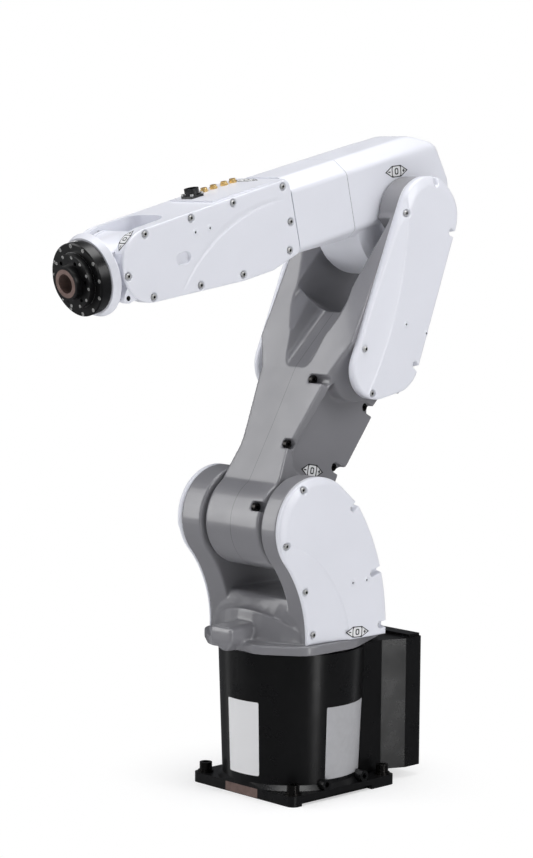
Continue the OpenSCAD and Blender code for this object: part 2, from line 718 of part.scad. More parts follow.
module j2_motor() color(motor_black) in_shoulder() translate([0, near_cheek_in, 0]) rotate([90, 0, 0]) {
  cylinder(r = motor2_r, h = motor2_len - 16);
  translate([0, 0, motor2_len - 16 - eps]) cylinder(r = motor2_r - 6, h = 16);
}

module j2_support_bearing() color(steel) in_shoulder() difference() {
  rod_y(bearing2_r, -far_cheek_in - bearing2_t, -far_cheek_in);
  rod_y(stub2_r + bearing_gap, -far_cheek_in - bearing2_t - 1, -far_cheek_in + 1);
}

module j2_output_flange() color(steel) in_arm() difference() {
  rod_y(flange2_out, hub_near, near_cheek_in - face_gap);
  rod_y(barrel_bore_r, hub_near - 1, near_cheek_in + 1);
}

// Half outline of the upper arm seen from the front, with its hub that wide
function arm_front(hub_half) = [[hub_half, -hub_r], [hub_half, 44], [waist_half, 80], [waist_half + 1, 92],
  [58, 172], [61, 190], [fork_out, 232], [fork_out, upper_arm_length + fork_end_r + 1]];

arm_side = rounded([[54, -20], [48, 38], [44, 110], [41, 192], [42, 240], [45, upper_arm_length - 30],
  [45, upper_arm_length], [-48, upper_arm_length], [-60, 380], [-68, 302], [-73, 253], [-78, 205], [-73, 190],
  [-78, 180], [-65, 105], [-56, 94], [-57, 0]], [0, 30, 30, 30, 30, 20, 0, 0, 30, 30, 30, 6, 4, 8, 6, 6, 0]);

module barrel(y0, y1) rotate([-90, 0, 0]) translate([0, 0, y0]) rotate_extrude($fn = 96)
  polygon(rounded([[0, 0], [hub_r, 0], [hub_r, y1 - y0], [0, y1 - y0]], [0, barrel_edge, barrel_edge, 0]));

// Recess in one side of the arm, behind the rib along its front edge and below the collar of the cover
module side_recess() linear_extrude(60) difference() {
  polygon(rounded([[-110, 62], [24, 62], [34, 84], [28, 176], [10, 214], [-110, 214]],
    [0, 12, 14, 12, 10, 0]));
  polygon(belt(elbow_circles, -collar));
}

// Room for the elbow between the fork legs, its bottom rounded from leg to leg
module fork_throat() let(sag = throat_r - throat_side_r, r = (fork_in * fork_in + sag * sag) / (2 * sag),
  a = asin(fork_in / r)) rotate([90, 0, 0]) rotate_extrude($fn = 96)
  polygon(concat([[0, -fork_in]], arc([throat_r - r, 0], r, -a, a, 8), [[0, fork_in]]));

// Channel scooped out of the arm's front face up to the throat, with a flat floor and sloped walls
module scoop() let(run = scoop_depth / tan(scoop_wall_slope), top = scoop_floor + run)
  translate([scoop_start.x, 0, scoop_start.y]) rotate([0, -scoop_slope, 0]) translate([0, 0, -80])
    linear_extrude(280) polygon(rounded([[0, -scoop_floor], [scoop_depth, -top], [scoop_depth, top], [0, scoop_floor]],
      [14, 0, 0, 14], 4));

// Room between the fork legs for the forearm extension at its lowest swing
module fork_relief() translate([0, 0, upper_arm_length]) rotate([0, forearm_slope - arm_lean + fork_swing, 0])
  slab_x(seam_rear - 5, seam_front) polygon(elbow_section(-2 * face_gap, -elbow_bottom));

// Slot across the front edge of the arm that lets in a joining screw
module screw_slot(x, z, out) translate([x, 0, z]) {
  rod_y(arm_slot_r, arm_screw_y, 100);
  rod_y(arm_shank_r + screw_gap, -13, arm_screw_y + 1);
  translate([out > 0 ? 0 : -30, arm_screw_y, -arm_slot_r]) cube([30, 100 - arm_screw_y, 2 * arm_slot_r]);
}

module arm_body() difference() {
  union() {
    barrel(-hub_far, hub_near);
    intersection() {
      slab_y(-fork_out, fork_out) union() {
        polygon(arm_side);
        translate([0, upper_arm_length]) circle(r = fork_end_r);
      }
      slab_x(-110, 70) polygon(concat(arm_front(hub_near), mirrored(arm_front(hub_far))));
    }
    rod_y(stub2_r, -far_cheek_in - bearing2_t + 1, -hub_far + 1);
  }
  translate([0, 0, upper_arm_length]) fork_throat();
  scoop();
  fork_relief();
  on_left(panel_half) side_recess();
  on_right(panel_half) side_recess();
  rod_y(barrel_bore_r, near_cheek_in - motor2_len - 3, hub_near + 1);
  translate([motor3_at.x, 0, motor3_at.y]) rod_y(motor3_r + screw_gap, motor3_in, fork_out + 1);
  translate([0, 0, upper_arm_length]) {
    rod_y(reducer3_r + bearing_gap, fork_in - 1, fork_out + 1);
    rod_y(bearing3_r + bearing_gap, -fork_in - bearing3_t - seat3_t, -fork_in + 1);
  }
  for (i = [0:2]) screw_slot(arm_screw_x[i], arm_screw_z[i], 1);
  for (i = [0:2]) screw_slot(arm_screw_back_x[i], arm_screw_z[i] + 6, -1);
  on_left(fork_out) cover_holes(elbow_screws, elbow_shank_len);
  on_right(fork_out) cover_holes(elbow_screws, elbow_shank_len);
}

module arm_half(y0, y1) color(grey_paint) in_arm() intersection() {
  arm_body();
  translate([-120, y0, -80]) cube([220, y1 - y0, upper_arm_length + 160]);
}

module arm_half_left() arm_half(0, 100);
module arm_half_right() arm_half(-100, 0);

module arm_screw() difference() {
  union() {
    rod_y(arm_head_r, arm_screw_y, arm_screw_y + arm_head_h);
    rod_y(arm_shank_r, -12, arm_screw_y + 1);
  }
  translate([0, arm_screw_y + arm_head_h + 1, 0]) rotate([90, 0, 0]) cylinder(r = 2.6, h = 4, $fn = 6);
}

module arm_joining_screws() color(dark_steel) in_arm() for (i = [0:2]) {
  translate([arm_screw_x[i], 0, arm_screw_z[i]]) arm_screw();
  translate([arm_screw_back_x[i], 0, arm_screw_z[i] + 6]) arm_screw();
}

module elbow_cover() moulded_cover(belt(elbow_circles), belt(elbow_circles, cover_chamfer),
  belt(elbow_circles, cover_wall), elbow_cover_t, elbow_screws, elbow_bosses) lowered(elbow_crease, elbow_cover_t);

module elbow_cover_left() color(white_paint) in_arm() on_left(fork_out) elbow_cover();
module elbow_cover_right() color(white_paint) in_arm() on_right(fork_out) elbow_cover();

module elbow_cover_screws() color(steel) in_arm() {
  on_left(fork_out) cover_screws(elbow_screws, elbow_cover_t, head_sink, elbow_shank_len);
  on_right(fork_out) cover_screws(elbow_screws, elbow_cover_t, head_sink, elbow_shank_len);
}

module j3_motor() color(motor_black) in_arm() translate([motor3_at.x, fork_out - 5, motor3_at.y]) rotate([90, 0, 0]) {
  cylinder(r = motor3_r, h = fork_out - 5 - motor3_in - 17);
  cylinder(r = motor3_r - 5, h = fork_out - 5 - motor3_in - 0.5);
}

module j3_reducer() color(steel) in_arm() translate([0, 0, upper_arm_length]) difference() {
  rod_y(reducer3_r, fork_in, fork_in + reducer3_t);
  rod_y(flange3_r + turn_gap, fork_in - 1, elbow_half_w + flange3_t + face_gap);
}

module j3_support_bearing() color(steel) in_arm() translate([0, 0, upper_arm_length]) difference() {
  rod_y(bearing3_r, -fork_in - bearing3_t, -fork_in);
  rod_y(stub3_r + bearing_gap, -fork_in - bearing3_t - 1, -fork_in + 1);
}

module j3_output_flange() color(steel) in_elbow() rod_y(flange3_r, elbow_half_w, elbow_half_w + flange3_t);

module elbow_housing() color(white_paint) in_elbow() difference() {
  union() {
    intersection() {
      slab_y(-elbow_half_w, elbow_half_w) polygon(elbow_side(0));
      slab_x(-110, seam_rear) polygon(elbow_section(0, -elbow_bottom));
    }
    rod_y(drum_r, -drum_half, drum_half);
    rod_y(flange3_r + 4, -elbow_half_w, elbow_half_w);
    rod_y(stub3_r, -fork_in - bearing3_t + 1, -elbow_half_w + 1);
  }
  intersection() {
    slab_y(-elbow_half_w, elbow_half_w) translate([30, -elbow_bottom + elbow_wall])
      square([seam_rear, elbow_top + elbow_bottom - 2 * elbow_wall]);
    slab_x(-110, seam_rear + 1) polygon(elbow_section(elbow_wall, -elbow_bottom));
  }
  translate([0, 0, elbow_offset]) rod_x(motor4_r + 1, seam_front - reducer4_t - motor4_len - 8, seam_rear + 1);
}

module forearm_extension() color(white_paint) in_elbow() difference() {
  intersection() {
    slab_x(seam_rear, seam_front - seam_gap) polygon(elbow_section(0, -elbow_bottom));
    slab_y(-elbow_half_w, elbow_half_w) polygon([[seam_rear, -elbow_bottom], [seam_front, -elbow_bottom + 7],
      [seam_front, elbow_top], [seam_rear, elbow_top]]);
  }
  translate([0, 0, elbow_offset]) {
    rod_x(reducer4_r + bearing_gap, seam_rear - 1, seam_front + 1);
  }
}

module j4_reducer() color(steel) in_elbow() translate([0, 0, elbow_offset]) difference() {
  rod_x(reducer4_r, seam_front - seam_gap - reducer4_t, seam_front - seam_gap);
  rod_x(flange4_r + turn_gap, seam_front - flange4_t - face_gap, seam_front + 1);
}

module j4_motor() color(motor_black) in_elbow() translate([seam_front - seam_gap - reducer4_t, 0, elbow_offset])
  rotate([0, -90, 0]) {
    cylinder(r = motor4_r, h = motor4_len - 18);
    cylinder(r = motor4_r - 5, h = motor4_len);
  }

module j4_output_flange() color(steel) in_fore() rod_x(flange4_r, forearm_rear - flange4_t, forearm_rear);

module forearm_casting() color(white_paint) in_fore() difference() {
  union() {
    slab_y(-forearm_half, forearm_half) polygon(belt(forearm_circles));
    translate([forearm_rear + 12, -service_half, 20]) cube([110, 2 * service_half, forearm_top - 20]);
  }
  translate([0, 0, -80]) linear_extrude(160) polygon(rounded([[60, -wrist_far_in], [60, wrist_near_in],
    [-wrist_gap, wrist_near_in], [-wrist_gap, -wrist_far_in]], [0, 0, 24, 16], 8));
  slab_y(-forearm_half - 1, forearm_half + 1)
    polygon(rounded([[bay_front, bay_floor], [bay_front, bay_top], [bay_rear, bay_top], [bay_rear, bay_floor]], 8));
  rod_y(reducer5_r + bearing_gap, wrist_near_in - 1, forearm_half + 1);
  rod_y(bearing5_r + bearing_gap, -forearm_half - 1, -wrist_far_in + 1);
  on_left(forearm_half) cover_holes(forearm_screws);
  on_right(forearm_half) cover_holes(forearm_screws);
}

// Crescent groove and oval pocket in the outer face of a forearm cover
module forearm_cuts() {
  translate([0, 0, fore_cover_t - crescent_depth]) linear_extrude(crescent_depth + eps) difference() {
    translate([crescent_outer.x, crescent_outer.y]) circle(r = crescent_outer.z, $fn = 128);
    translate([crescent_inner.x, crescent_inner.y]) circle(r = crescent_inner.z, $fn = 128);
    translate([forearm_rear - 200, forearm_top - 17]) square([270, 300]);
    translate([forearm_rear - 200, -400]) square([212, 800]);
  }
  translate([pocket_at.x, pocket_at.y, fore_cover_t - pocket_depth]) linear_extrude(pocket_depth + eps)
    polygon(rounded(both_sides([[pocket_half.x, -pocket_half.y], [pocket_half.x, pocket_half.y]]), 7, 6));
}

module forearm_cover() moulded_cover(belt(forearm_circles), belt(forearm_circles, fore_chamfer),
  belt(forearm_circles, fore_cover_wall + 1), fore_cover_t, forearm_screws, forearm_bosses, fore_cover_roof,
  fore_chamfer, fore_sink) forearm_cuts();

module forearm_screw_set() cover_screws(forearm_screws, fore_cover_t, fore_sink, fore_shank_len);

module forearm_cover_left() color(white_paint) in_fore() on_left(forearm_half) forearm_cover();
module forearm_cover_right() color(white_paint) in_fore() on_right(forearm_half) forearm_cover();

module forearm_cover_screws() color(steel) in_fore() {
  on_left(forearm_half) forearm_screw_set();
  on_right(forearm_half) forearm_screw_set();
}

module on_service_face() in_fore() translate([0, 0, forearm_top]) children();

module signal_connector() color(black_paint) on_service_face() translate([signal_at.x, signal_at.y, 0]) difference() {
  union() {
    linear_extrude(3) polygon(rounded([[-10.5, -10.5], [10.5, -10.5], [10.5, 10.5], [-10.5, 10.5]], 2.5));
    cylinder(r = 8, h = 9);
    translate([0, 0, 5]) cylinder(r = 9, h = 6);
  }
  translate([0, 0, 8]) cylinder(r = 6, h = 4);
  for (x = [-8, 8], y = [-8, 8]) translate([x, y, -1]) cylinder(r = 1.4, h = 5);
}

module air_ports() color(brass) on_service_face() for (x = port_x) translate([x, port_y, 0]) difference() {
  union() {
    cylinder(r = 5.2, h = 2.5, $fn = 6);
    cylinder(r = 4, h = 5);
  }
  translate([0, 0, 1]) cylinder(r = 2.4, h = 5);
}

module service_screws() color(steel) on_service_face() for (x = [-8, 8], y = [-8, 8])
  translate([signal_at.x + x, signal_at.y + y, 3]) difference() {
    union() {
      cylinder(r = 2.2, h = 2.2);
      translate([0, 0, -3]) cylinder(r = 1.2, h = 3 + eps);
    }
    translate([0, 0, 1]) cylinder(r = 1.1, h = 2, $fn = 6);
  }

module j5_motor() color(motor_black) in_fore() translate([bay_front - 30, 0, (bay_floor + bay_top) / 2]) {
  rod_y((bay_top - bay_floor) / 2 - 0.1, -18, 24);
  rod_y(18, -36, -17);
}

module j5_reducer() color(steel) in_fore() difference() {
  rod_y(reducer5_r, wrist_near_in, forearm_half - 0.2);
  rod_y(flange5_r + turn_gap, wrist_near_in - 1, wrist_side + flange5_t + face_gap);
}

module j5_support_bearing() color(steel) in_fore() difference() {
  rod_y(bearing5_r, -forearm_half + 0.2, -wrist_far_in);
  rod_y(stub5_r + bearing_gap, -forearm_half - 1, -wrist_far_in + 1);
}

module j5_output_flange() color(steel) in_fore() rod_y(flange5_r, wrist_side, wrist_side + flange5_t);

module wrist_housing() color(white_paint) in_fore() difference() {
  union() {
    rod_y(wrist_r, -wrist_side, wrist_side);
    intersection() {
      rod_x(wrist_r, 0, front_flange_x + 1);
      translate([-1, -wrist_side, -wrist_r - 1]) cube([front_flange_x + 3, 2 * wrist_side, 2 * wrist_r + 2]);
    }
    translate([front_flange_x, 0, 0]) rotate([0, 90, 0]) rotate_extrude($fn = 96) polygon([[0, 0],
      [front_flange_r - 1, 0], [front_flange_r, 1], [front_flange_r, 2], [front_flange_r - 4, ring_rear - front_flange_x],
      [0, ring_rear - front_flange_x]]);
    rod_y(stub5_r, -forearm_half + 1, -wrist_side + 1);
  }
  rod_x(motor6_r + 0.5, -motor6_len + reducer6_x - 1, reducer6_x + 1);
  rod_x(reducer6_small_r + bearing_gap, reducer6_x, ring_rear + 1);
  rod_x(reducer6_r + bearing_gap, reducer6_step, ring_rear + 1);
  on_right(wrist_side) ring_holes(cap_ring_r, 12, 13.5, 1.2, -5, eps);
}

module wrist_side_cap() color(white_paint) in_fore() on_right(wrist_side) difference() {
  cylinder(r = cap_r, h = cap_t);
  translate([0, 0, -1]) cylinder(r = stub5_r + bearing_gap, h = cap_t + 2);
  ring_holes(cap_ring_r, 12, 13.5, 1.9, cap_t - 2, cap_t + 1);
  ring_holes(cap_ring_r, 12, 13.5, 1.2, -1, cap_t);
}

module wrist_cap_screws() color(dark_steel) in_fore() on_right(wrist_side)
  translate([0, 0, cap_t - 2]) ring_screws(cap_ring_r, 12, 13.5, 1.75, 1.7, 8);

module j6_motor() color(motor_black) in_fore() rod_x(motor6_r, reducer6_x - motor6_len, reducer6_x);

module j6_reducer() color(steel) in_fore() difference() {
  union() {
    rod_x(reducer6_small_r, reducer6_x, reducer6_step + 1);
    rod_x(reducer6_r, reducer6_step, ring_front - face_gap);
  }
  rod_x(sleeve_r + turn_gap, sleeve_x - face_gap, ring_front + 1);
}

// Along the axis of the tool flange, with +Z pointing ahead
module on_tool(x) in_fore() translate([x, 0, 0]) rotate([0, 90, 0]) children();

module wrist_ring() color(black_paint) on_tool(ring_rear) difference() {
  rotate_extrude($fn = 96) polygon([[reducer6_r + bearing_gap, 0], [ring_r - 1, 0], [ring_r, 1],
    [ring_r, ring_len - 1.5], [ring_r - 1.5, ring_len], [reducer6_r + bearing_gap, ring_len]]);
  ring_holes(ring_screw_r, 12, 0, 2.5, ring_len - 2.5, ring_len + 1);
  ring_holes(ring_screw_r, 12, 0, 1.6, -1, ring_len);
}

module wrist_ring_screws() color(steel) on_tool(ring_front - 2.5) ring_screws(ring_screw_r, 12, 0, 2.3, 2.3, 13);

module tool_flange() color(black_paint) on_tool(ring_front) difference() {
  union() {
    cylinder(r = tool_r, h = tool_disc_t);
    cylinder(r = hub_out_r, h = tool_disc_t + hub_len);
  }
  translate([0, 0, -1]) cylinder(r = sleeve_r, h = tool_disc_t + hub_len + 2);
  ring_holes(tool_pcd / 2, tool_hole_count, 30, tool_hole_d / 2, -1, tool_disc_t + 1);
  ring_holes(tool_screw_r, 12, 15, 2.1, tool_disc_t - 2, tool_disc_t + 1);
  ring_holes(tool_screw_r, 12, 15, 1.3, 1.5, tool_disc_t);
}

module tool_flange_screws() color(steel) on_tool(tool_face - 2)
  ring_screws(tool_screw_r, 12, 15, 1.95, 1.9, 4);

module hub_sleeve() color(bronze) on_tool(sleeve_x) difference() {
  cylinder(r = sleeve_r, h = tool_face + hub_len - sleeve_x);
  translate([0, 0, -1]) cylinder(r = hollow_r, h = tool_face + hub_len - sleeve_x + 2);
}

base_casting();
base_bolts();
base_washers();
connector_box();
connector_panel();
connector_sockets();
panel_screws();
j1_motor();
j1_reducer();
j1_output_flange();
turret_casting();
shoulder_cover_left();
shoulder_cover_right();
shoulder_cover_screws();
j2_motor();
j2_reducer();
j2_support_bearing();
j2_output_flange();
arm_half_left();
arm_half_right();
arm_joining_screws();
elbow_cover_left();
elbow_cover_right();
elbow_cover_screws();
j3_motor();
j3_reducer();
j3_support_bearing();
j3_output_flange();
elbow_housing();
forearm_extension();
j4_motor();
j4_reducer();
j4_output_flange();
forearm_casting();
forearm_cover_left();
forearm_cover_right();
forearm_cover_screws();
signal_connector();
air_ports();
service_screws();
j5_motor();
j5_reducer();
j5_support_bearing();
j5_output_flange();
wrist_housing();
wrist_side_cap();
wrist_cap_screws();
j6_motor();
j6_reducer();
wrist_ring();
wrist_ring_screws();
tool_flange();
tool_flange_screws();
hub_sleeve();
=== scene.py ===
import json
import math

import bmesh
import bpy
import numpy as np
from mathutils import Matrix, Vector
from mathutils.geometry import delaunay_2d_cdt
from mathutils.kdtree import KDTree


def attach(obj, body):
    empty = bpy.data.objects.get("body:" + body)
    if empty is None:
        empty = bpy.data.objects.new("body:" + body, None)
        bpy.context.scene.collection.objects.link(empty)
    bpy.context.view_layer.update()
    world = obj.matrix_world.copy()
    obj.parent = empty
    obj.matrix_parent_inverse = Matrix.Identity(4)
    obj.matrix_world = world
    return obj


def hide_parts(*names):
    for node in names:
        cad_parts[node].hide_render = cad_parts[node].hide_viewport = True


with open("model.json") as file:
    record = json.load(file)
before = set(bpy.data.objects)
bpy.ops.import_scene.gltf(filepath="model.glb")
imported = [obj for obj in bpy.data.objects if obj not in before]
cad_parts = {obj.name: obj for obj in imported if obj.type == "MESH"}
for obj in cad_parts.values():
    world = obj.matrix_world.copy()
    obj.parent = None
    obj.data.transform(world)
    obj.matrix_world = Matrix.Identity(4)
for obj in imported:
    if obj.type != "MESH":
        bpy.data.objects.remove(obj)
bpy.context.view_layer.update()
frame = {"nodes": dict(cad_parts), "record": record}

MM = 0.001

# Frames of the resting pose, worked out from the joints of the record, in metres and radians

JOINT = {j["name"]: j for j in frame["record"]["behaviour"]["joints"]}
SHOULDER = Vector(JOINT["j2_shoulder"]["pos_m"])
ELBOW = Vector(JOINT["j3_elbow"]["pos_m"])
WRIST = Vector(JOINT["j5_wrist_bend"]["pos_m"])
ARM_LEAN = math.atan2(ELBOW.x - SHOULDER.x, ELBOW.z - SHOULDER.z)
FORE_AXIS = Vector(JOINT["j4_forearm_roll"]["axis"])
FORE_SLOPE = math.atan2(-FORE_AXIS.z, FORE_AXIS.x)

IN_SHOULDER = Matrix.Translation(SHOULDER)
IN_ARM = IN_SHOULDER @ Matrix.Rotation(ARM_LEAN, 4, "Y")
IN_ELBOW = Matrix.Translation(ELBOW) @ Matrix.Rotation(FORE_SLOPE, 4, "Y")
IN_FORE = Matrix.Translation(WRIST) @ Matrix.Rotation(FORE_SLOPE, 4, "Y")


# Camera and light

# Camera as fitted to the photograph: angles in degrees, place in metres and lengths in pixels
CAMERA_AZIMUTH = 136.06
CAMERA_ELEVATION = 5.41
CAMERA_ROLL = 0.52
CAMERA_PLACE = Vector((2.15152, 2.18265, 0.77882))
FOCAL_PX = 2434.17
IMAGE_HEIGHT_PX = 858
AXIS_ABOVE_CENTRE_PX = 25.2
SENSOR = 36.0
CLIP_END = 50.0


def towards(azimuth, elevation):
    """Direction from the object to an azimuth and an elevation in degrees."""
    a = math.radians(azimuth)
    e = math.radians(elevation)
    return Vector((math.sin(a) * math.cos(e), -math.cos(a) * math.cos(e), math.sin(e)))


def camera_axes():
    """The camera's right, up and back directions."""
    a = math.radians(CAMERA_AZIMUTH)
    r = math.radians(CAMERA_ROLL)
    back = towards(CAMERA_AZIMUTH, CAMERA_ELEVATION)
    right = Vector((math.cos(a), math.sin(a), 0.0))
    up = back.cross(right)
    return (math.cos(r) * right + math.sin(r) * up, math.cos(r) * up - math.sin(r) * right, back)


def add_object(name, data):
    """Object with the given data, in the scene."""
    obj = bpy.data.objects.new(name, data)
    bpy.context.scene.collection.objects.link(obj)
    return obj


def make_camera():
    """Camera at the place and with the lens and shift that were fitted to the photograph."""
    data = bpy.data.cameras.new("camera")
    cam = add_object("camera", data)
    right, up, back = camera_axes()
    turn = Matrix((right, up, back)).transposed().to_4x4()
    cam.matrix_world = Matrix.Translation(CAMERA_PLACE) @ turn
    data.sensor_fit = "AUTO"
    data.sensor_width = SENSOR
    data.lens = FOCAL_PX * SENSOR / IMAGE_HEIGHT_PX
    data.shift_y = -AXIS_ABOVE_CENTRE_PX / IMAGE_HEIGHT_PX
    data.clip_end = CLIP_END
    bpy.context.scene.camera = cam


LIGHT_AIM = Vector((0.0, 0.0, 0.42))

# Lamps: turn from the camera and elevation in degrees, distance, width and height in metres, watts
LAMPS = {
    "left_panel": (-92, 30, 4.0, 2.0, 2.4, 36),
    "low_left_panel": (-92, 3, 4.0, 1.2, 1.6, 18),
    "edge_panel": (-122, 0, 4.0, 0.8, 3.4, 3.6),
    "front_panel": (-24, 12, 2.8, 0.8, 1.0, 4.5),
    "key_panel": (58, 26, 2.4, 1.0, 1.0, 15.5),
    "top_panel": (0, 84, 2.0, 1.8, 1.6, 36),
    "right_panel": (122, 2, 2.2, 0.4, 2.4, 0.8),
    "strip_panel": (40, -8, 2.6, 0.4, 1.3, 7.0),
}


def softbox(name, turn, elevation, distance, width, height, power):
    """Lamp panel that is aimed at the middle of the object."""
    data = bpy.data.lights.new(name, "AREA")
    data.shape = "RECTANGLE"
    data.size = width
    data.size_y = height
    data.energy = power
    lamp = add_object(name, data)
    away = towards(CAMERA_AZIMUTH + turn, elevation)
    lamp.location = LIGHT_AIM + distance * away
    lamp.rotation_euler = away.to_track_quat("Z", "Y").to_euler()


def make_lights():
    for name, lamp in LAMPS.items():
        softbox(name, *lamp)


ROOM_DIFFUSE = 0.18
ROOM_GLOSS = 0.09
ROOM_TINT = (0.92, 0.94, 1.0, 1.0)
PURE_WHITE = (1.0, 1.0, 1.0, 1.0)


def make_world():
    """Even room light, darker in reflections, on a background that the camera sees as white."""
    world = bpy.data.worlds.new("studio")
    bpy.context.scene.world = world
    world.use_nodes = True
    nodes = world.node_tree.nodes
    links = world.node_tree.links
    nodes.clear()
    path = nodes.new("ShaderNodeLightPath")
    out = nodes.new("ShaderNodeOutputWorld")
    shade = None
    for strength, tint, ray in ((ROOM_DIFFUSE, ROOM_TINT, None), (ROOM_GLOSS, ROOM_TINT, "Is Glossy Ray"),
                                (1.0, PURE_WHITE, "Is Camera Ray")):
        room = nodes.new("ShaderNodeBackground")
        room.inputs["Color"].default_value = tint
        room.inputs["Strength"].default_value = strength
        if shade is None:
            shade = room
            continue
        mix = nodes.new("ShaderNodeMixShader")
        links.new(path.outputs[ray], mix.inputs["Fac"])
        links.new(shade.outputs[0], mix.inputs[1])
        links.new(room.outputs[0], mix.inputs[2])
        shade = mix
    links.new(shade.outputs[0], out.inputs["Surface"])


# Materials

NOISE_LOW = 0.3
NOISE_HIGH = 0.7
NOISE_ROUGHNESS = 0.55
NOISE_DETAIL = 4.0
RELIEF_DETAIL = 2.0


def new_material(name):
    mat = bpy.data.materials.new(name)
    mat.use_nodes = True
    nodes = mat.node_tree.nodes
    return mat, nodes, mat.node_tree.links, nodes["Principled BSDF"]


def noise(nodes, links, scale, detail=NOISE_DETAIL):
    """Noise in the object's own coordinates, scale in cycles per metre."""
    coords = nodes.new("ShaderNodeTexCoord")
    tex = nodes.new("ShaderNodeTexNoise")
    tex.inputs["Scale"].default_value = scale
    tex.inputs["Detail"].default_value = detail
    tex.inputs["Roughness"].default_value = NOISE_ROUGHNESS
    links.new(coords.outputs["Object"], tex.inputs["Vector"])
    return tex.outputs["Fac"]


def ramp(nodes, links, fac, low, high):
    """Colour that runs from low to high over the middle range of a noise."""
    node = nodes.new("ShaderNodeValToRGB")
    for element, at, colour in zip(node.color_ramp.elements, (NOISE_LOW, NOISE_HIGH), (low, high)):
        element.position = at
        element.color = (*colour, 1.0)
    links.new(fac, node.inputs["Fac"])
    return node.outputs["Color"]


def span(nodes, links, fac, low, high):
    """Number that runs from low to high over the middle range of a noise."""
    node = nodes.new("ShaderNodeMapRange")
    node.inputs["From Min"].default_value = NOISE_LOW
    node.inputs["From Max"].default_value = NOISE_HIGH
    node.inputs["To Min"].default_value = low
    node.inputs["To Max"].default_value = high
    links.new(fac, node.inputs["Value"])
    return node.outputs["Result"]


def bump(nodes, links, shader, height, distance):
    node = nodes.new("ShaderNodeBump")
    node.inputs["Strength"].default_value = 1.0
    node.inputs["Distance"].default_value = distance
    links.new(height, node.inputs["Height"])
    links.new(node.outputs["Normal"], shader.inputs["Normal"])


def surface(name, colour, shade, roughness, spread, scales, relief):
    """Material whose colour drifts by shade and whose roughness varies by spread, with a relief in metres.
    scales are those of the colour, the roughness and the relief, in cycles per metre."""
    mat, nodes, links, shader = new_material(name)
    drift, dullness, grain = scales
    darker = tuple(c * (1.0 - shade) for c in colour)
    links.new(ramp(nodes, links, noise(nodes, links, drift), darker, colour), shader.inputs["Base Color"])
    smooth, dull = roughness * (1.0 - spread), roughness * (1.0 + spread)
    links.new(span(nodes, links, noise(nodes, links, dullness), smooth, dull), shader.inputs["Roughness"])
    bump(nodes, links, shader, noise(nodes, links, grain, RELIEF_DETAIL), relief)
    return mat, shader


COAT_ROUGHNESS = 0.12
PAINT_SPREAD = 0.15
PAINT_SCALES = (9.0, 34.0, 900.0)
METAL_SPREAD = 0.3
METAL_SCALES = (120.0, 300.0, 2400.0)


def paint(name, colour, shade, roughness, peel, coat=0.0, gloss=0.5):
    """Sprayed enamel: colour drifts by shade, gloss drifts a little and the film has a fine orange peel."""
    mat, shader = surface(name, colour, shade, roughness, PAINT_SPREAD, PAINT_SCALES, peel)
    shader.inputs["Specular IOR Level"].default_value = gloss
    shader.inputs["Coat Weight"].default_value = coat
    shader.inputs["Coat Roughness"].default_value = COAT_ROUGHNESS
    return mat


def metal(name, colour, shade, roughness, scratch, metallic=1.0):
    """Bare metal with fine turning marks and duller patches."""
    mat, shader = surface(name, colour, shade, roughness, METAL_SPREAD, METAL_SCALES, scratch)
    shader.inputs["Metallic"].default_value = metallic
    return mat


LINE_BLUR = 0.5


def seamed(mat, across, at, half_width, dark):
    """Thin dark line where two pieces meet, in the plane with normal across at the distance at."""
    nodes, links = mat.node_tree.nodes, mat.node_tree.links
    shader = nodes["Principled BSDF"]
    coords = nodes.new("ShaderNodeTexCoord")
    reach = nodes.new("ShaderNodeVectorMath")
    reach.operation = "DOT_PRODUCT"
    reach.inputs[1].default_value = across
    links.new(coords.outputs["Object"], reach.inputs[0])
    shifted = nodes.new("ShaderNodeMath")
    shifted.operation = "SUBTRACT"
    shifted.inputs[1].default_value = at
    links.new(reach.outputs["Value"], shifted.inputs[0])
    off = nodes.new("ShaderNodeMath")
    off.operation = "ABSOLUTE"
    links.new(shifted.outputs[0], off.inputs[0])
    line = nodes.new("ShaderNodeMapRange")
    line.interpolation_type = "SMOOTHSTEP"
    line.inputs["From Min"].default_value = half_width * (1.0 - LINE_BLUR)
    line.inputs["From Max"].default_value = half_width * (1.0 + LINE_BLUR)
    line.inputs["To Min"].default_value = dark
    line.inputs["To Max"].default_value = 1.0
    links.new(off.outputs[0], line.inputs["Value"])
    shade = nodes.new("ShaderNodeVectorMath")
    shade.operation = "SCALE"
    colour = shader.inputs["Base Color"].links[0].from_socket
    links.new(colour, shade.inputs[0])
    links.new(line.outputs["Result"], shade.inputs["Scale"])
    links.new(shade.outputs["Vector"], shader.inputs["Base Color"])
    return mat


WHITE = (0.78, 0.79, 0.85)
GREY = (0.225, 0.223, 0.24)
ELBOW_SEAM_X = 91.0

# Lines where pieces meet: half width in metres and share of the colour that is left
SEAM_LINE = (0.0004, 0.2)
SPLIT_LINE = (0.0003, 0.25)


def elbow_seam():
    """Distance of the seam between the elbow housing and its extension along the forearm's axis."""
    place = IN_ELBOW @ Vector((ELBOW_SEAM_X * MM, 0.0, 0.0))
    return place.dot(IN_ELBOW.to_3x3().col[0])


def white_enamel(name):
    return paint(name, WHITE, 0.03, 0.34, 0.00002, coat=0.25)


def grey_enamel(name):
    return paint(name, GREY, 0.06, 0.34, 0.00003, coat=0.5, gloss=1.0)


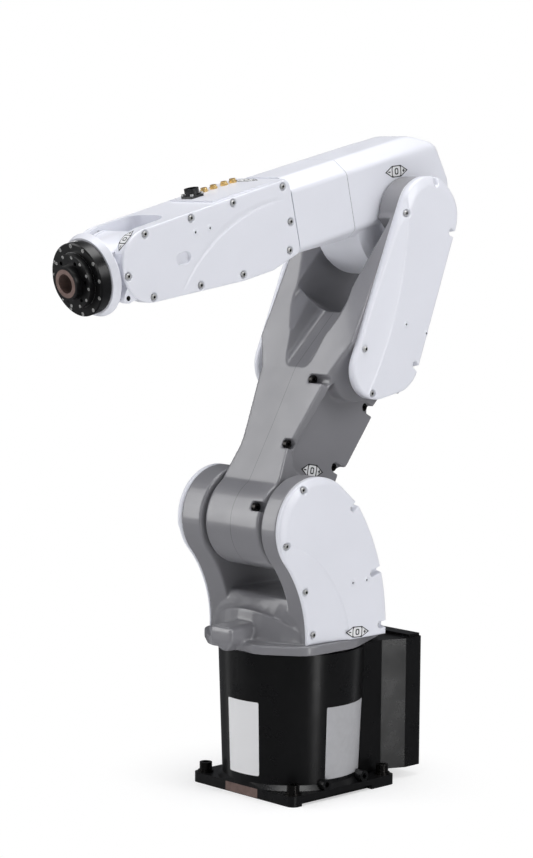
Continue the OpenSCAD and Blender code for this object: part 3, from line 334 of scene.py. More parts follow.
def make_materials():
    """Materials by slot name, and those of the scene's own pieces, with their reliefs in metres."""
    along_forearm = IN_ELBOW.to_3x3().col[0]
    return {
        "white_paint": white_enamel("white_enamel"),
        "elbow_paint": seamed(white_enamel("elbow_enamel"), along_forearm, elbow_seam(), *SEAM_LINE),
        "grey_paint": grey_enamel("grey_enamel"),
        "arm_paint": seamed(grey_enamel("arm_enamel"), (0.0, 1.0, 0.0), 0.0, *SPLIT_LINE),
        "black_paint": paint("black_enamel", (0.006, 0.006, 0.0065), 0.25, 0.3, 0.00002, coat=0.06),
        "mark_ink": paint("mark_ink", (0.01, 0.01, 0.012), 0.2, 0.5, 0.000005),
        "mark_white": paint("mark_white", (0.78, 0.78, 0.79), 0.03, 0.45, 0.000005),
        "motor_case": paint("motor_paint", (0.02, 0.02, 0.022), 0.2, 0.45, 0.00003),
        "black_plastic": paint("moulded_plastic", (0.012, 0.012, 0.012), 0.2, 0.5, 0.00005),
        "machined_steel": metal("machined_steel", (0.55, 0.55, 0.56), 0.15, 0.32, 0.00001, 0.7),
        "zinc_steel": metal("zinc_steel", (0.62, 0.62, 0.61), 0.2, 0.3, 0.00001, 0.55),
        "black_steel": metal("black_steel", (0.052, 0.049, 0.047), 0.12, 0.3, 0.000004),
        # Dark material for the insides of screw sockets and of boss holes: painted shade in those hollows
        "painted_hollow_shade": metal("painted_hollow_shade", (0.03, 0.03, 0.03), 0.2, 0.5, 0.00001),
        "brass": metal("brass", (0.78, 0.55, 0.22), 0.2, 0.28, 0.00001, 0.7),
        "foil": metal("silver_foil", (0.6, 0.6, 0.62), 0.06, 0.42, 0.000005, 0.35),
        "bronze": metal("dark_bronze", (0.32, 0.225, 0.2), 0.25, 0.42, 0.00002, 0.6),
    }


# CAD nodes, with the width in mm of the softened edges by slot

BEVEL = {"white_paint": 1.0, "grey_paint": 1.6, "black_paint": 0.8, "zinc_steel": 0.7, "black_steel": 0.8}
BEVEL_ANGLE = 38.0
BEVEL_SEGMENTS = 3


def dress_nodes(materials):
    """Each CAD node takes its slot's material, and cast and moulded pieces get softened edges."""
    slots = {s["node"]: s["material_slot"] for s in frame["record"]["subparts"]}
    for name, obj in frame["nodes"].items():
        slot = slots[name]
        obj.data.materials.clear()
        obj.data.materials.append(materials["elbow_paint" if name == "forearm_extension" else slot])
        if slot in BEVEL:
            soft = obj.modifiers.new("soft_edges", "BEVEL")
            soft.width = BEVEL[slot] * MM
            soft.segments = BEVEL_SEGMENTS
            soft.limit_method = "ANGLE"
            soft.angle_limit = math.radians(BEVEL_ANGLE)


def new_piece(name, points, faces, material, body, smooth=True):
    """Piece of the visual model, from points in the shared frame in metres, that rides on a body."""
    mesh = bpy.data.meshes.new(name)
    mesh.from_pydata([tuple(p) for p in points], [], faces)
    mesh.validate()
    shell = bmesh.new()
    shell.from_mesh(mesh)
    bmesh.ops.recalc_face_normals(shell, faces=shell.faces)
    shell.to_mesh(mesh)
    shell.free()
    obj = add_object(name, mesh)
    mesh.materials.append(material)
    mesh.polygons.foreach_set("use_smooth", [smooth] * len(mesh.polygons))
    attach(obj, body)
    return obj


# Castings, with the places in mm where their smoothing sets in

THROAT_X = 42.0
THROAT_Z = 240.0
THROAT_KEPT_R = 10.0
THROAT_SOFT_R = 24.0
REAR_SOFT_X = -45.0
REAR_KEPT_X = 10.0
NOSE_KEPT_X = 80.0
NOSE_SOFT_X = 97.0
NOSE_SOFT_Y = 24.0
NOSE_KEPT_Y = 36.0
FULL_SHARE = 0.5
TURRET_SHARE = 0.1

# A point nearer than this to y = 0, in metres, lies on the split line
ON_SPLIT = 1e-5


def ease(value, low, high):
    """Smooth step from 0 to 1 as value runs from low to high."""
    t = np.clip((np.asarray(value, dtype=float) - low) / (high - low), 0.0, 1.0)
    return t * t * (3.0 - 2.0 * t)


def smoothed(mesh, rounds, share):
    """Moves each vertex towards its neighbours' mean, rounds times, by the share given for its place."""
    count = len(mesh.vertices)
    points = np.empty(count * 3)
    mesh.vertices.foreach_get("co", points)
    points = points.reshape(count, 3)
    ends = np.empty(len(mesh.edges) * 2, dtype=int)
    mesh.edges.foreach_get("vertices", ends)
    a, b = ends.reshape(-1, 2).T
    near = np.bincount(ends, minlength=count)[:, None]
    part = share(points)[:, None]
    for _ in range(rounds):
        total = np.stack([np.bincount(a, points[b, k], count) + np.bincount(b, points[a, k], count)
                          for k in range(3)], axis=1)
        points = points + part * (total / near - points)
    mesh.vertices.foreach_set("co", points.ravel())


def cast_piece(name, nodes, body, voxel, rounds, material, share):
    """One soft-edged casting in place of CAD nodes of a body, with a skin of voxels in mm that is smoothed.
    Halves that meet at y = 0 are run into each other."""
    size = voxel * MM
    shell = bmesh.new()
    for node in nodes:
        source = frame["nodes"][node]
        part = bmesh.new()
        part.from_mesh(source.data)
        bmesh.ops.transform(part, matrix=source.matrix_world, verts=part.verts)
        if len(nodes) > 1:
            middle = sum(v.co.y for v in part.verts)
            for v in part.verts:
                if abs(v.co.y) < ON_SPLIT:
                    v.co.y = -math.copysign(size, middle)
        mesh = bpy.data.meshes.new("joined")
        part.to_mesh(mesh)
        part.free()
        shell.from_mesh(mesh)
    mesh = bpy.data.meshes.new(name)
    shell.to_mesh(mesh)
    shell.free()
    block = add_object(f"{name}_block", mesh)
    remesh = block.modifiers.new("cast_skin", "REMESH")
    remesh.mode = "VOXEL"
    remesh.voxel_size = size
    skin = bpy.data.meshes.new_from_object(block.evaluated_get(bpy.context.evaluated_depsgraph_get()))
    bpy.data.objects.remove(block)
    smoothed(skin, rounds, share)
    skin.materials.clear()
    skin.materials.append(material)
    skin.polygons.foreach_set("use_smooth", [True] * len(skin.polygons))
    obj = add_object(name, skin)
    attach(obj, body)
    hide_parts(*nodes)


def rear_of_elbow(points):
    """Share of smoothing for the elbow housing: none at the seam, full at the rounded rear."""
    flat = (points - np.array(IN_ELBOW.translation)) @ np.array(IN_ELBOW.to_3x3())
    return FULL_SHARE * (1.0 - ease(flat[:, 0] / MM, REAR_SOFT_X, REAR_KEPT_X))


def nose_of_turret(points):
    """Share of smoothing for the turret: full on the nose in front, little elsewhere."""
    ahead = ease(points[:, 0] / MM, NOSE_KEPT_X, NOSE_SOFT_X)
    aside = ease(np.abs(points[:, 1]) / MM, NOSE_SOFT_Y, NOSE_KEPT_Y)
    return TURRET_SHARE + (FULL_SHARE - TURRET_SHARE) * ahead * (1.0 - aside)


def throat_of_arm(points):
    """Share of smoothing for the upper arm: none at the throat's corners, which the forearm passes."""
    flat = (points - np.array(IN_ARM.translation)) @ np.array(IN_ARM.to_3x3())
    away = np.hypot(flat[:, 0] / MM - THROAT_X, flat[:, 2] / MM - THROAT_Z)
    return FULL_SHARE * ease(away, THROAT_KEPT_R, THROAT_SOFT_R)


def make_castings(materials):
    cast_piece("turret_cast_body", ["turret_casting"], "turret", voxel=1.2, rounds=26,
               material=materials["grey_paint"], share=nose_of_turret)
    cast_piece("upper_arm_cast_body", ["arm_half_left", "arm_half_right"], "upper_arm", voxel=1.2, rounds=6,
               material=materials["arm_paint"], share=throat_of_arm)
    cast_piece("elbow_cast_body", ["elbow_housing"], "elbow", voxel=1.4, rounds=60,
               material=materials["elbow_paint"], share=rear_of_elbow)


# Outlines of the covers, in mm in the plane of the side they lie on

def arc(centre, radius, start, end, step=1.5):
    """Points on a circle from angle start to angle end, in degrees."""
    count = max(3, int(abs(math.radians(end - start)) * radius / step))
    return [(centre[0] + radius * math.cos(a), centre[1] + radius * math.sin(a))
            for a in np.radians(np.linspace(start, end, count + 1))]


def belt_side(p, q):
    """Angle at which a belt leaves circle p for circle q, each given as (x, y, r)."""
    dx, dy = q[0] - p[0], q[1] - p[1]
    return math.degrees(math.atan2(dy, dx) - math.acos((p[2] - q[2]) / math.hypot(dx, dy)))


def belt(circles):
    """Outline of a belt round circles given anticlockwise as (x, y, r)."""
    points = []
    for k, (x, y, r) in enumerate(circles):
        start = belt_side(circles[k - 1], circles[k])
        turn = (belt_side(circles[k], circles[(k + 1) % len(circles)]) - start) % 360
        points += arc((x, y), r, start, start + turn)
    return points


# Shoulder cover: radii and heights in mm, directions of the arcs' centres in degrees
CHEEK_R = 63.3
CHEEK_FRONT_R = 151.5
CHEEK_REAR_R = 270.0
CHEEK_BOTTOM = -146.0
FRONT_DIR = -40.8
REAR_DIR = -43.1
REAR_STEP = 5.8
REAR_START = 143.0


def along(length, angle):
    """Point at a length from the origin, at an angle in degrees."""
    return (length * math.cos(math.radians(angle)), length * math.sin(math.radians(angle)))


def cheek_outline():
    """Outline of a shoulder cover: a hub arc, a wide rear arc and a hollow front arc down to the skirt."""
    front = along(CHEEK_R + CHEEK_FRONT_R, FRONT_DIR)
    rear = along(CHEEK_REAR_R - CHEEK_R - REAR_STEP, REAR_DIR)
    start = along(CHEEK_REAR_R, REAR_START)
    start = (rear[0] + start[0], rear[1] + start[1])
    hub_end = math.degrees(math.atan2(start[1], start[0]) - math.acos(CHEEK_R / math.hypot(*start)))
    rear_end = 180 - math.degrees(math.asin((CHEEK_BOTTOM - rear[1]) / CHEEK_REAR_R))
    front_end = 180 - math.degrees(math.asin((CHEEK_BOTTOM - front[1]) / CHEEK_FRONT_R))
    return (arc((0, 0), CHEEK_R, FRONT_DIR, hub_end) + arc(rear, CHEEK_REAR_R, REAR_START, rear_end)
            + arc(front, CHEEK_FRONT_R, front_end, 180 + FRONT_DIR)[:-1])


SHORTEST_EDGE = 0.05


def even(points, step=1.8):
    """The closed outline again, with points about a step apart and none doubled."""
    out = []
    for p, q in zip(points, points[1:] + points[:1]):
        length = math.dist(p, q)
        if length > SHORTEST_EDGE:
            count = max(1, round(length / step))
            out += [(p[0] + (q[0] - p[0]) * i / count, p[1] + (q[1] - p[1]) * i / count)
                    for i in range(count)]
    return out


def edge_distance(points, outline):
    """Distance of each point from the outline, the nearest place on it and whether it lies inside."""
    p = np.asarray(points, dtype=float)[:, None, :]
    a = np.asarray(outline, dtype=float)[None, :, :]
    d = np.roll(a, -1, axis=1) - a
    t = np.clip(((p - a) * d).sum(-1) / (d * d).sum(-1), 0.0, 1.0)
    near = a + t[..., None] * d
    dist = np.hypot(*np.moveaxis(p - near, -1, 0))
    best = dist.argmin(axis=1)
    rows = np.arange(len(best))
    crosses = ((a[..., 1] > p[..., 1]) != (np.roll(a, -1, axis=1)[..., 1] > p[..., 1]))
    slope = d[..., 0] / np.where(d[..., 1] == 0, 1e-9, d[..., 1])
    left = p[..., 0] < a[..., 0] + (p[..., 1] - a[..., 1]) * slope
    return dist[rows, best], near[rows, best], (crosses & left).sum(axis=1) % 2 == 1


# Moulded covers, in mm

SEAT_R = 5.2
NOTCH_R = 4.0
NOTCH_REACH = 30.0
SEAT_SLOPE = 1.0
SOFT = 0.5
CLOSED = (0, 0)
CREASE_STEP = 0.7
CREASE_BEFORE = -0.3
CREASE_AFTER = 0.9
NARROW_DROP = 0.35
RIM_CURVE = 1.35
BOSS_R = 3.6
BOSS_H = 0.8
BOSS_HOLE_R = 1.5
BOSS_HOLE_DEPTH = 2.0
BOSS_HOLE_SOFT = 0.2
# Dark plugs that paint shade into the boss holes: height over the hole's floor, gap to its wall, height of
# the foot and sides
SHADE_PLUG_H = 0.9
SHADE_PLUG_GAP = 0.1
SHADE_PLUG_FOOT = 0.5
SHADE_PLUG_SIDES = 16


def cover_height(cover, points):
    """Height of a cover's outer face over its back, at points of its plane."""
    p = np.asarray(points, dtype=float)
    dist, near, _ = edge_distance(p, cover["outline"])
    height = np.full(len(p), cover["t"])
    for x, y, r, slope, depth in cover.get("lowered", []):
        fall = r - np.hypot(p[:, 0] - x, p[:, 1] - y)
        sunk = depth * (1.0 - np.exp(-slope * np.maximum(fall, 0.0) / depth))
        height -= sunk + CREASE_STEP * ease(fall, CREASE_BEFORE, CREASE_AFTER)
    for cut in cover.get("cuts", []):
        height -= cut(p)
    wide = cover["wide"](near)
    width = cover["rim"] + wide * (cover["rim_wide"] - cover["rim"])
    drop = cover["rim_drop"] * (NARROW_DROP + (1.0 - NARROW_DROP) * wide)
    height -= drop * (1.0 - np.clip(dist / width, 0.0, 1.0)) ** RIM_CURVE
    edge = cover["edge"]
    height -= edge - np.sqrt(np.maximum(edge ** 2 - np.maximum(edge - dist, 0.0) ** 2, 0.0))
    for x, y, sink, out, seat in cover["screws"]:
        along_out = np.clip((p[:, 0] - x) * out[0] + (p[:, 1] - y) * out[1], 0.0, NOTCH_REACH)
        away = np.hypot(p[:, 0] - x - along_out * out[0], p[:, 1] - y - along_out * out[1])
        floor = cover["t"] - sink
        height = floor + (height - floor) * ease(away, seat - SEAT_SLOPE, seat + SOFT)
    for x, y in cover["bosses"]:
        away = np.hypot(p[:, 0] - x, p[:, 1] - y)
        height += BOSS_H * (1.0 - ease(away, BOSS_R - SOFT, BOSS_R + SOFT))
        hole = 1.0 - ease(away, BOSS_HOLE_R - BOSS_HOLE_SOFT, BOSS_HOLE_R + BOSS_HOLE_SOFT)
        height -= BOSS_HOLE_DEPTH * hole
    return height


def thinned(groups):
    """Points of all groups of (points, spacing) in turn, without those too near to earlier ones."""
    kept = []
    for points, spacing in groups:
        tree = KDTree(len(kept))
        for i, p in enumerate(kept):
            tree.insert((p[0], p[1], 0.0), i)
        tree.balance()
        kept += [p for p in points if not kept or tree.find((p[0], p[1], 0.0))[2] > spacing]
    return kept


# Where a cover's points lie: inwards from the rim, out from the edge and the middle of a screw's seat, round
# a boss and across a crease. ARC values are steps along circles, SPACING values the least distances.
RIM_STEPS = (0.35, 0.9, 1.7, 2.8, 4.2)
SEAT_STEPS = (-1.0, -0.6, -0.2, 0.2, 0.7)
SEAT_MIDDLE = (1.2, 2.6)
NOTCH_MIDDLE = 1.5
NOTCH_STEPS = np.arange(0.8, 16.0, 0.8)
BOSS_STEPS = (1.0, 1.3, 1.6, 1.9, 2.7, 3.1, 3.6, 4.1)
CREASE_STEPS = (-1.0, -0.3, 0.1, 0.5, 0.9, 1.6, 3.0)
SEAT_ARC = 0.8
BOSS_ARC = 0.7
CREASE_ARC = 2.2
BAND_ARC = 1.6
SMALL_BAND_ARC = 1.0
SMALL_BAND_R = 20.0
GRID_STEP = 2.4
GRID_ROW = 0.87
GRID_SPACING = 1.1
EDGE_SPACING = 0.3
SEAT_SPACING = 0.25


def cover_points(cover):
    """Points of a cover's outer face: its outline, rings along it and round each feature, and a grid."""
    outline = cover["outline"]
    line = np.array(outline)
    ahead = np.roll(line, -1, axis=0) - np.roll(line, 1, axis=0)
    inward = np.stack([-ahead[:, 1], ahead[:, 0]], axis=1) / np.hypot(ahead[:, 0], ahead[:, 1])[:, None]
    groups = [(outline, 0.0)]
    for depth in RIM_STEPS:
        groups.append(((line + depth * inward).tolist(), EDGE_SPACING))
    around = []
    for x, y, _, out, seat in cover["screws"]:
        rings = [seat + step for step in SEAT_STEPS]
        for r in [*SEAT_MIDDLE, *rings]:
            around += arc((x, y), r, 0, 350, SEAT_ARC)
        reaches = () if out == CLOSED else NOTCH_STEPS
        for reach in reaches:
            around += [(x + reach * out[0] - side * out[1], y + reach * out[1] + side * out[0])
                       for r in [NOTCH_MIDDLE, *rings] for side in (-r, r)]
    for x, y in cover["bosses"]:
        for r in BOSS_STEPS:
            around += arc((x, y), r, 0, 340, BOSS_ARC)
    groups.append((around, SEAT_SPACING))
    bands = []
    for x, y, r, _, _ in cover.get("lowered", []):
        for inset in CREASE_STEPS:
            bands += arc((x, y), r - inset, 0, 360, CREASE_ARC)
    for x, y, r in cover.get("bands", []):
        bands += arc((x, y), r, 0, 360, SMALL_BAND_ARC if r < SMALL_BAND_R else BAND_ARC)
    groups.append((bands, EDGE_SPACING))
    low, high = line.min(axis=0), line.max(axis=0)
    rows = np.arange(low[1], high[1], GRID_STEP * GRID_ROW)
    grid = [(x + (j % 2) * GRID_STEP / 2, y) for j, y in enumerate(rows)
            for x in np.arange(low[0], high[0], GRID_STEP)]
    groups.append((grid, GRID_SPACING))
    for i, (points, spacing) in enumerate(groups[1:], 1):
        dist, _, inside = edge_distance(points, outline)
        groups[i] = ([p for p, d, ok in zip(points, dist, inside) if ok and d > SEAT_SPACING], spacing)
    return [tuple(p) for p in thinned(groups)]


WELD = 1e-5


def filled(points, count):
    """Points, triangles and edge of a flat form. The first count points are its closed outline."""
    loop = [(i, (i + 1) % count) for i in range(count)]
    verts, _, faces, _, _, _ = delaunay_2d_cdt([Vector(p) for p in points], loop, [], 1, WELD)
    return [tuple(v) for v in verts], [tuple(f) for f in faces], loop


def moulded_cover(cover):
    """Points as (x, y, height) and faces of a cover: its outer face, then its edge and back."""
    count = len(cover["outline"])
    flat, faces, loop = filled(cover_points(cover), count)
    height = cover_height(cover, flat)
    points = [(p[0], p[1], h) for p, h in zip(flat, height)]
    back = len(points)
    points += [(x, y, 0.0) for x, y in flat[:count]]
    faces += [(i, back + i, back + j, j) for i, j in loop]
    faces.append(tuple(range(back + count - 1, back - 1, -1)))
    return points, faces


# Button head: its socket, and its profile as radius and height over its foot, in mm
SOCKET_R = 1.75
SOCKET_FLAT = 0.93
SOCKET_FLOOR = 1.9
HEAD_SIDES = 24
HEAD_PROFILE = [(SOCKET_R, 3.6), (2.3, 3.7), (3.1, 3.2), (3.45, 2.3), (3.5, -0.5)]


def button_head(x, y, height):
    """Points and faces of a button head with its foot at a height, and which faces lie in its socket, where
    the dark material paints shade.
    """
    around = HEAD_SIDES
    points, faces, socket = [], [], []
    turns = [2 * math.pi * i / around for i in range(around)]
    sixth = math.pi / 3
    hexagon = [SOCKET_R * SOCKET_FLAT / math.cos((a + sixth / 2) % sixth - sixth / 2) for a in turns]
    rows = [(hexagon, SOCKET_FLOOR), (hexagon, HEAD_PROFILE[0][1])]
    rows += [([r] * around, h) for r, h in HEAD_PROFILE[1:]]
    for row, h in rows:
        points += [(x + r * math.cos(a), y + r * math.sin(a), height + h) for r, a in zip(row, turns)]
    for k in range(len(rows) - 1):
        lower, upper = k * around, (k + 1) * around
        for i in range(around):
            j = (i + 1) % around
            faces.append((lower + i, upper + i, upper + j, lower + j))
        socket += [k == 0] * around
    faces += [tuple(range(around)), tuple(range((len(rows) - 1) * around, len(rows) * around))]
    socket += [True, False]
    return points, faces, socket


def cover_screw_set(name, cover, plane, half, body, materials):
    """Button heads of both covers of a pair as one piece, in place of the screws of the CAD, with painted
    shade in their sockets.
    """
    points, faces, dark = [], [], []
    for sign in (1, -1):
        for x, y, sink, _, _ in cover["screws"]:
            head, skin, socket = button_head(x, y, cover["t"] - sink)
            first = len(points)
            points += [plane @ Vector((u * MM, sign * (half + h) * MM, v * MM)) for u, v, h in head]
            faces += [tuple(first + i for i in f) for f in skin]
            dark += socket
    piece = new_piece(f"{name}_button_heads", points, faces, materials["zinc_steel"], body)
    piece.data.materials.append(materials["painted_hollow_shade"])
    # Faces in the sockets take the dark material: painted shade
    piece.data.polygons.foreach_set("material_index", [int(d) for d in dark])
    piece.data.polygons.foreach_set("use_smooth", [len(f) == 4 for f in faces])
    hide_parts(f"{name}_cover_screws")


def boss_hole_shade_plugs(name, cover, plane, half, body, materials):
    """Dark plugs in the holes of both covers' bosses, as one piece: painted shade in the holes."""
    points, faces = [], []
    around = SHADE_PLUG_SIDES
    circle = [along(BOSS_HOLE_R - SHADE_PLUG_GAP, 360 * i / around) for i in range(around)]
    for sign in (1, -1):
        for x, y in cover["bosses"]:
            first = len(points)
            top = cover_height(cover, [(x, y)])[0] + SHADE_PLUG_H
            for h in (SHADE_PLUG_FOOT, top):
                points += [plane @ Vector(((x + u) * MM, sign * (half + h) * MM, (y + v) * MM))
                           for u, v in circle]
            ring = [first + i for i in range(around)]
            lid = [first + around + i for i in range(around)]
            faces += [tuple(ring), tuple(lid)]
            for i in range(around):
                j = (i + 1) % around
                faces.append((ring[i], lid[i], lid[j], ring[j]))
    piece = new_piece(f"{name}_boss_hole_shade_plugs", points, faces, materials["painted_hollow_shade"], body, smooth=False)


def place_covers(name, cover, plane, half, body, material):
    """A cover on the left (+Y) side and its mirror image on the right, their backs at half and -half."""
    points, faces = moulded_cover(cover)
    for side, sign in (("left", 1), ("right", -1)):
        placed = [plane @ Vector((x * MM, sign * (half + h) * MM, y * MM)) for x, y, h in points]
        turned = [f[::-1] for f in faces] if sign > 0 else faces
        node = f"{name}_cover_{side}"
        piece = new_piece(f"{node}_moulding", placed, turned, material, body)
        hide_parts(node)


UPPER_ARM = 430.0
FORE_REAR = -240.0
FORE_TOP = 48.0

# Crescent groove of the forearm's covers, between two circles given as (x, y, r)
LUNE_OUTER = (-191.4, -164.9, 196.6)
LUNE_INNER = (-203.2, -203.6, 228.1)
LUNE_DEPTH = 1.4
LUNE_SHARP = 1.2
LUNE_SOFT = 7.0


def lune(p):
    """Depth of the crescent groove: a sharp lower edge and a soft upper one."""
    outer = LUNE_OUTER[2] - np.hypot(p[:, 0] - LUNE_OUTER[0], p[:, 1] - LUNE_OUTER[1])
    inner = np.hypot(p[:, 0] - LUNE_INNER[0], p[:, 1] - LUNE_INNER[1]) - LUNE_INNER[2]
    rear = ease(p[:, 0], FORE_REAR + 10.0, FORE_REAR + 40.0)
    ends = rear * (1.0 - ease(p[:, 1], FORE_TOP - 22.0, FORE_TOP - 12.0))
    return LUNE_DEPTH * ends * ease(inner, 0.0, LUNE_SHARP) * ease(outer, 0.0, LUNE_SOFT)


POCKET_X = -50.0
POCKET_Z = -4.5
POCKET_SOFT = 1.2
POCKET_DEPTH = 4.0
POCKET_R = 7.4
POCKET_STRAIGHT = 4.5


def pocket(p):
    """Depth of the oval pocket near the wrist."""
    x = np.maximum(np.abs(p[:, 0] - POCKET_X) - POCKET_STRAIGHT, 0.0)
    return POCKET_DEPTH * (1.0 - ease(np.hypot(x, p[:, 1] - POCKET_Z), POCKET_R - POCKET_SOFT, POCKET_R))


def seats(places, sink):
    """Screw seats at the same depth, closed all round."""
    return [(x, y, sink, CLOSED, SEAT_R) for x, y in places]


def notch(x, y, sink, angle):
    """Deep screw seat that opens through the rim towards an angle."""
    return (x, y, sink, along(1.0, angle), NOTCH_R)


# Covers, in mm in the plane of their side. t is the thickness and edge the radius of its edge. The rim is as
# wide as rim, or as rim_wide where wide is 1, and falls by rim_drop. lowered is the field inside a circle
# (x, y, r), which falls from its crease with a slope and ends at a depth. bands are circles of points that
# carry the cuts.
SHOULDER_COVER = {
    "outline": even(cheek_outline()), "t": 11.5, "edge": 1.3,
    "rim": 3.0, "rim_wide": 11.0, "rim_drop": 4.2,
    "wide": lambda q: ease(q[:, 0], -45.0, 5.0) * ease(q[:, 1], -38.0, -8.0),
    "lowered": [(102.0, -167.0, 161.0, 0.34, 6.5)],
    "screws": seats([(26, 49.5), (53, -17.3)], 5.0) + seats([(16.5, -78)], 7.5) + seats([(2, -133)], 8.2)
              + [notch(-60, 20, 9.5, 150), notch(-97, -66, 9.5, 165), notch(-112, -133, 9.5, 180)],
    "bosses": [(-61, -74), (-86, -73)],
}
ELBOW_COVER = {
    "outline": even(belt([(0, UPPER_ARM, 50), (-26, 243, 45), (-4, 217, 38)])), "t": 16.0, "edge": 1.5,
    "rim": 3.0, "rim_wide": 13.0, "rim_drop": 4.6,
    "wide": lambda q: ease(q[:, 0], -48.0, -5.0) * ease(q[:, 1], 385.0, 430.0),
    "lowered": [(436.0, 223.0, 440.0, 0.24, 11.0)],
    "screws": seats([(42, 412), (-9, 186)], 5.0) + seats([(26, 231)], 6.5)
              + [notch(12, 470, 12.0, 75), notch(-43, 428, 13.0, 175), notch(-62, 250, 13.0, 195)],
    "bosses": [(-22.5, 288), (-62, 294)],
}
FORE_COVER = {
    "outline": even(belt([(0, 0, 44), (FORE_REAR + 9.5, FORE_TOP - 9.5, 9), (FORE_REAR + 7, -40, 7),
                          (FORE_REAR + 51, -46, 10), (FORE_REAR + 99, -46, 10)])),
    "t": 5.0, "edge": 1.6,
    "rim": 3.0, "rim_wide": 3.0, "rim_drop": 0.8,
    "wide": lambda q: np.zeros(len(q)),
    "cuts": [lune, pocket],
    "bands": [(*LUNE_OUTER[:2], r) for r in (196.6, 194.5, 192.0, 189.6)]
             + [(*LUNE_INNER[:2], r) for r in (227.8, 228.7, 229.6)]
             + [(POCKET_X + side * POCKET_STRAIGHT, POCKET_Z, POCKET_R + step) for side in (-1, 1)
                for step in (-2.4, -1.4, -1.0, -0.6, -0.2, 0.2, 0.8)],
    "screws": seats([(2, 37.6), (37.6, -4), (5, -37.3), (-72, 38.5), (-70, -43)], 3.0)
              + seats([(FORE_REAR + 98, 40), (FORE_REAR + 100, -48), (FORE_REAR + 13, 40),
                       (FORE_REAR + 9, -5), (FORE_REAR + 18, -39)], 3.0),
    "bosses": [(-75, 20.5), (-98.8, 19.9)],
}


# Pairs of covers: form, frame, distance of their backs from the middle in mm, and body
COVERS = {
    "shoulder": (SHOULDER_COVER, IN_SHOULDER, 85.5, "turret"),
    "elbow": (ELBOW_COVER, IN_ARM, 81.0, "upper_arm"),
    "forearm": (FORE_COVER, IN_FORE, 43.0, "forearm"),
}


def make_covers(materials):
    for name, (cover, plane, half, body) in COVERS.items():
        place_covers(name, cover, plane, half, body, materials["white_paint"])
        cover_screw_set(name, cover, plane, half, body, materials)
        # The dark plugs in the boss holes are painted shade
        boss_hole_shade_plugs(name, cover, plane, half, body, materials)


# Marks, plates and pads

PATCH_STEP = 2.0
PATCH_MARGIN = 0.8
PATCH_SINK = 0.05


def patch(name, body, place, outline, material, thick):
    """Thin piece with an outline in mm. place(s, t, lift) gives points in the shared frame, in metres."""
    step = PATCH_STEP
    line = even(outline, step)
    low = np.min(line, axis=0)
    high = np.max(line, axis=0)
    grid = [(x, y) for x in np.arange(low[0] + step, high[0], step)
            for y in np.arange(low[1] + step, high[1], step)]
    if grid:
        dist, _, inside = edge_distance(grid, line)
        grid = [p for p, d, ok in zip(grid, dist, inside) if ok and d > PATCH_MARGIN]
    flat, faces, loop = filled(line + grid, len(line))
    total = len(flat)
    points = [place(x, y, lift) for lift in (thick, -PATCH_SINK) for x, y in flat]
    solid = faces + [tuple(total + i for i in reversed(f)) for f in faces]
    solid += [(i, total + i, total + j, j) for i, j in loop]
    return new_piece(name, points, solid, material, body, smooth=False)


CORNER_ARC = 0.8


def box_outline(x0, y0, x1, y1, r=0.0):
    """Outline of a rectangle with corners of radius r."""
    if r <= 0.0:
        return [(x0, y0), (x1, y0), (x1, y1), (x0, y1)]
    centres = ((x1 - r, y0 + r), (x1 - r, y1 - r), (x0 + r, y1 - r), (x0 + r, y0 + r))
    return [p for k, centre in enumerate(centres)
            for p in arc(centre, r, 90 * k - 90, 90 * k, CORNER_ARC)]


# Marks: the lift of each layer in mm, and shares of the mark's length or height
MARK_LIFT = 0.06
MARK_BLUNT = 0.19
MARK_RIM = 0.085
SIGN_BAR = 0.14
SIGN_THIN = 0.05

# Margins of the white fields, as shares of the rim
FIELD_SIDE = 0.6
FIELD_TOP = 1.3
FIELD_TIP = 2.4

# Where the plus and minus stand, from the middle field to the tip
SIGN_AT = 0.3

# Round corners of the middle field, and half width, half height and corners of the zero and of its inside
MIDDLE_ROUND = 0.3
ZERO = (0.42, 0.55, 0.3)
ZERO_INSIDE = (0.2, 0.35, 0.15)


def turning_mark(name, body, place, length, height, materials):
    """Generic mark for the two ways an axis turns: a black lozenge with white fields for plus, zero and
    minus. Its parts are shares of its length and height."""
    black = materials["mark_ink"]
    white = materials["mark_white"]
    a, c, h = length / 2, length * MARK_BLUNT, height / 2
    rim = height * MARK_RIM
    lozenge = [(-a, 0), (-c, -h), (c, -h), (a, 0), (c, h), (-c, h)]
    patch(f"{name}_edge", body, place, lozenge, black, MARK_LIFT)
    gap = FIELD_SIDE * rim
    side = c + gap
    top = h - FIELD_TOP * rim
    tip = a - FIELD_TIP * rim
    fields = [[(-side, top), (-side, -top), (-tip, 0)],
              [(tip, 0), (side, top), (side, -top)],
              box_outline(-c + gap, -h + rim, c - gap, h - rim, MIDDLE_ROUND * c)]
    for i, field in enumerate(fields):
        patch(f"{name}_field_{i}", body, place, field, white, 2 * MARK_LIFT)
    bar, thin = height * SIGN_BAR, height * SIGN_THIN
    at = c + rim + SIGN_AT * (a - c)
    zero, inside = [box_outline(-w * c, -v * h, w * c, v * h, r * c) for w, v, r in (ZERO, ZERO_INSIDE)]
    signs = {"minus": box_outline(-at - bar, -thin, -at + bar, thin),
             "plus_a": box_outline(at - bar, -thin, at + bar, thin),
             "plus_b": box_outline(at - thin, -bar, at + thin, bar),
             "zero": zero}
    for sign, outline in signs.items():
        patch(f"{name}_{sign}", body, place, outline, black, 3 * MARK_LIFT)
    patch(f"{name}_zero_inside", body, place, inside, white, 4 * MARK_LIFT)


def on_side(plane, x, z, y, turn=0.0):
    """Place on a left side face at y of a frame. s is to the right and t up as seen from outside, and turn
    turns them clockwise, in degrees."""
    ca, sa = math.cos(math.radians(turn)), math.sin(math.radians(turn))

    def place(s, t, lift):
        u, v = -s * ca - t * sa, -s * sa + t * ca
        return plane @ Vector(((x + u) * MM, (y + lift) * MM, (z + v) * MM))
    return place


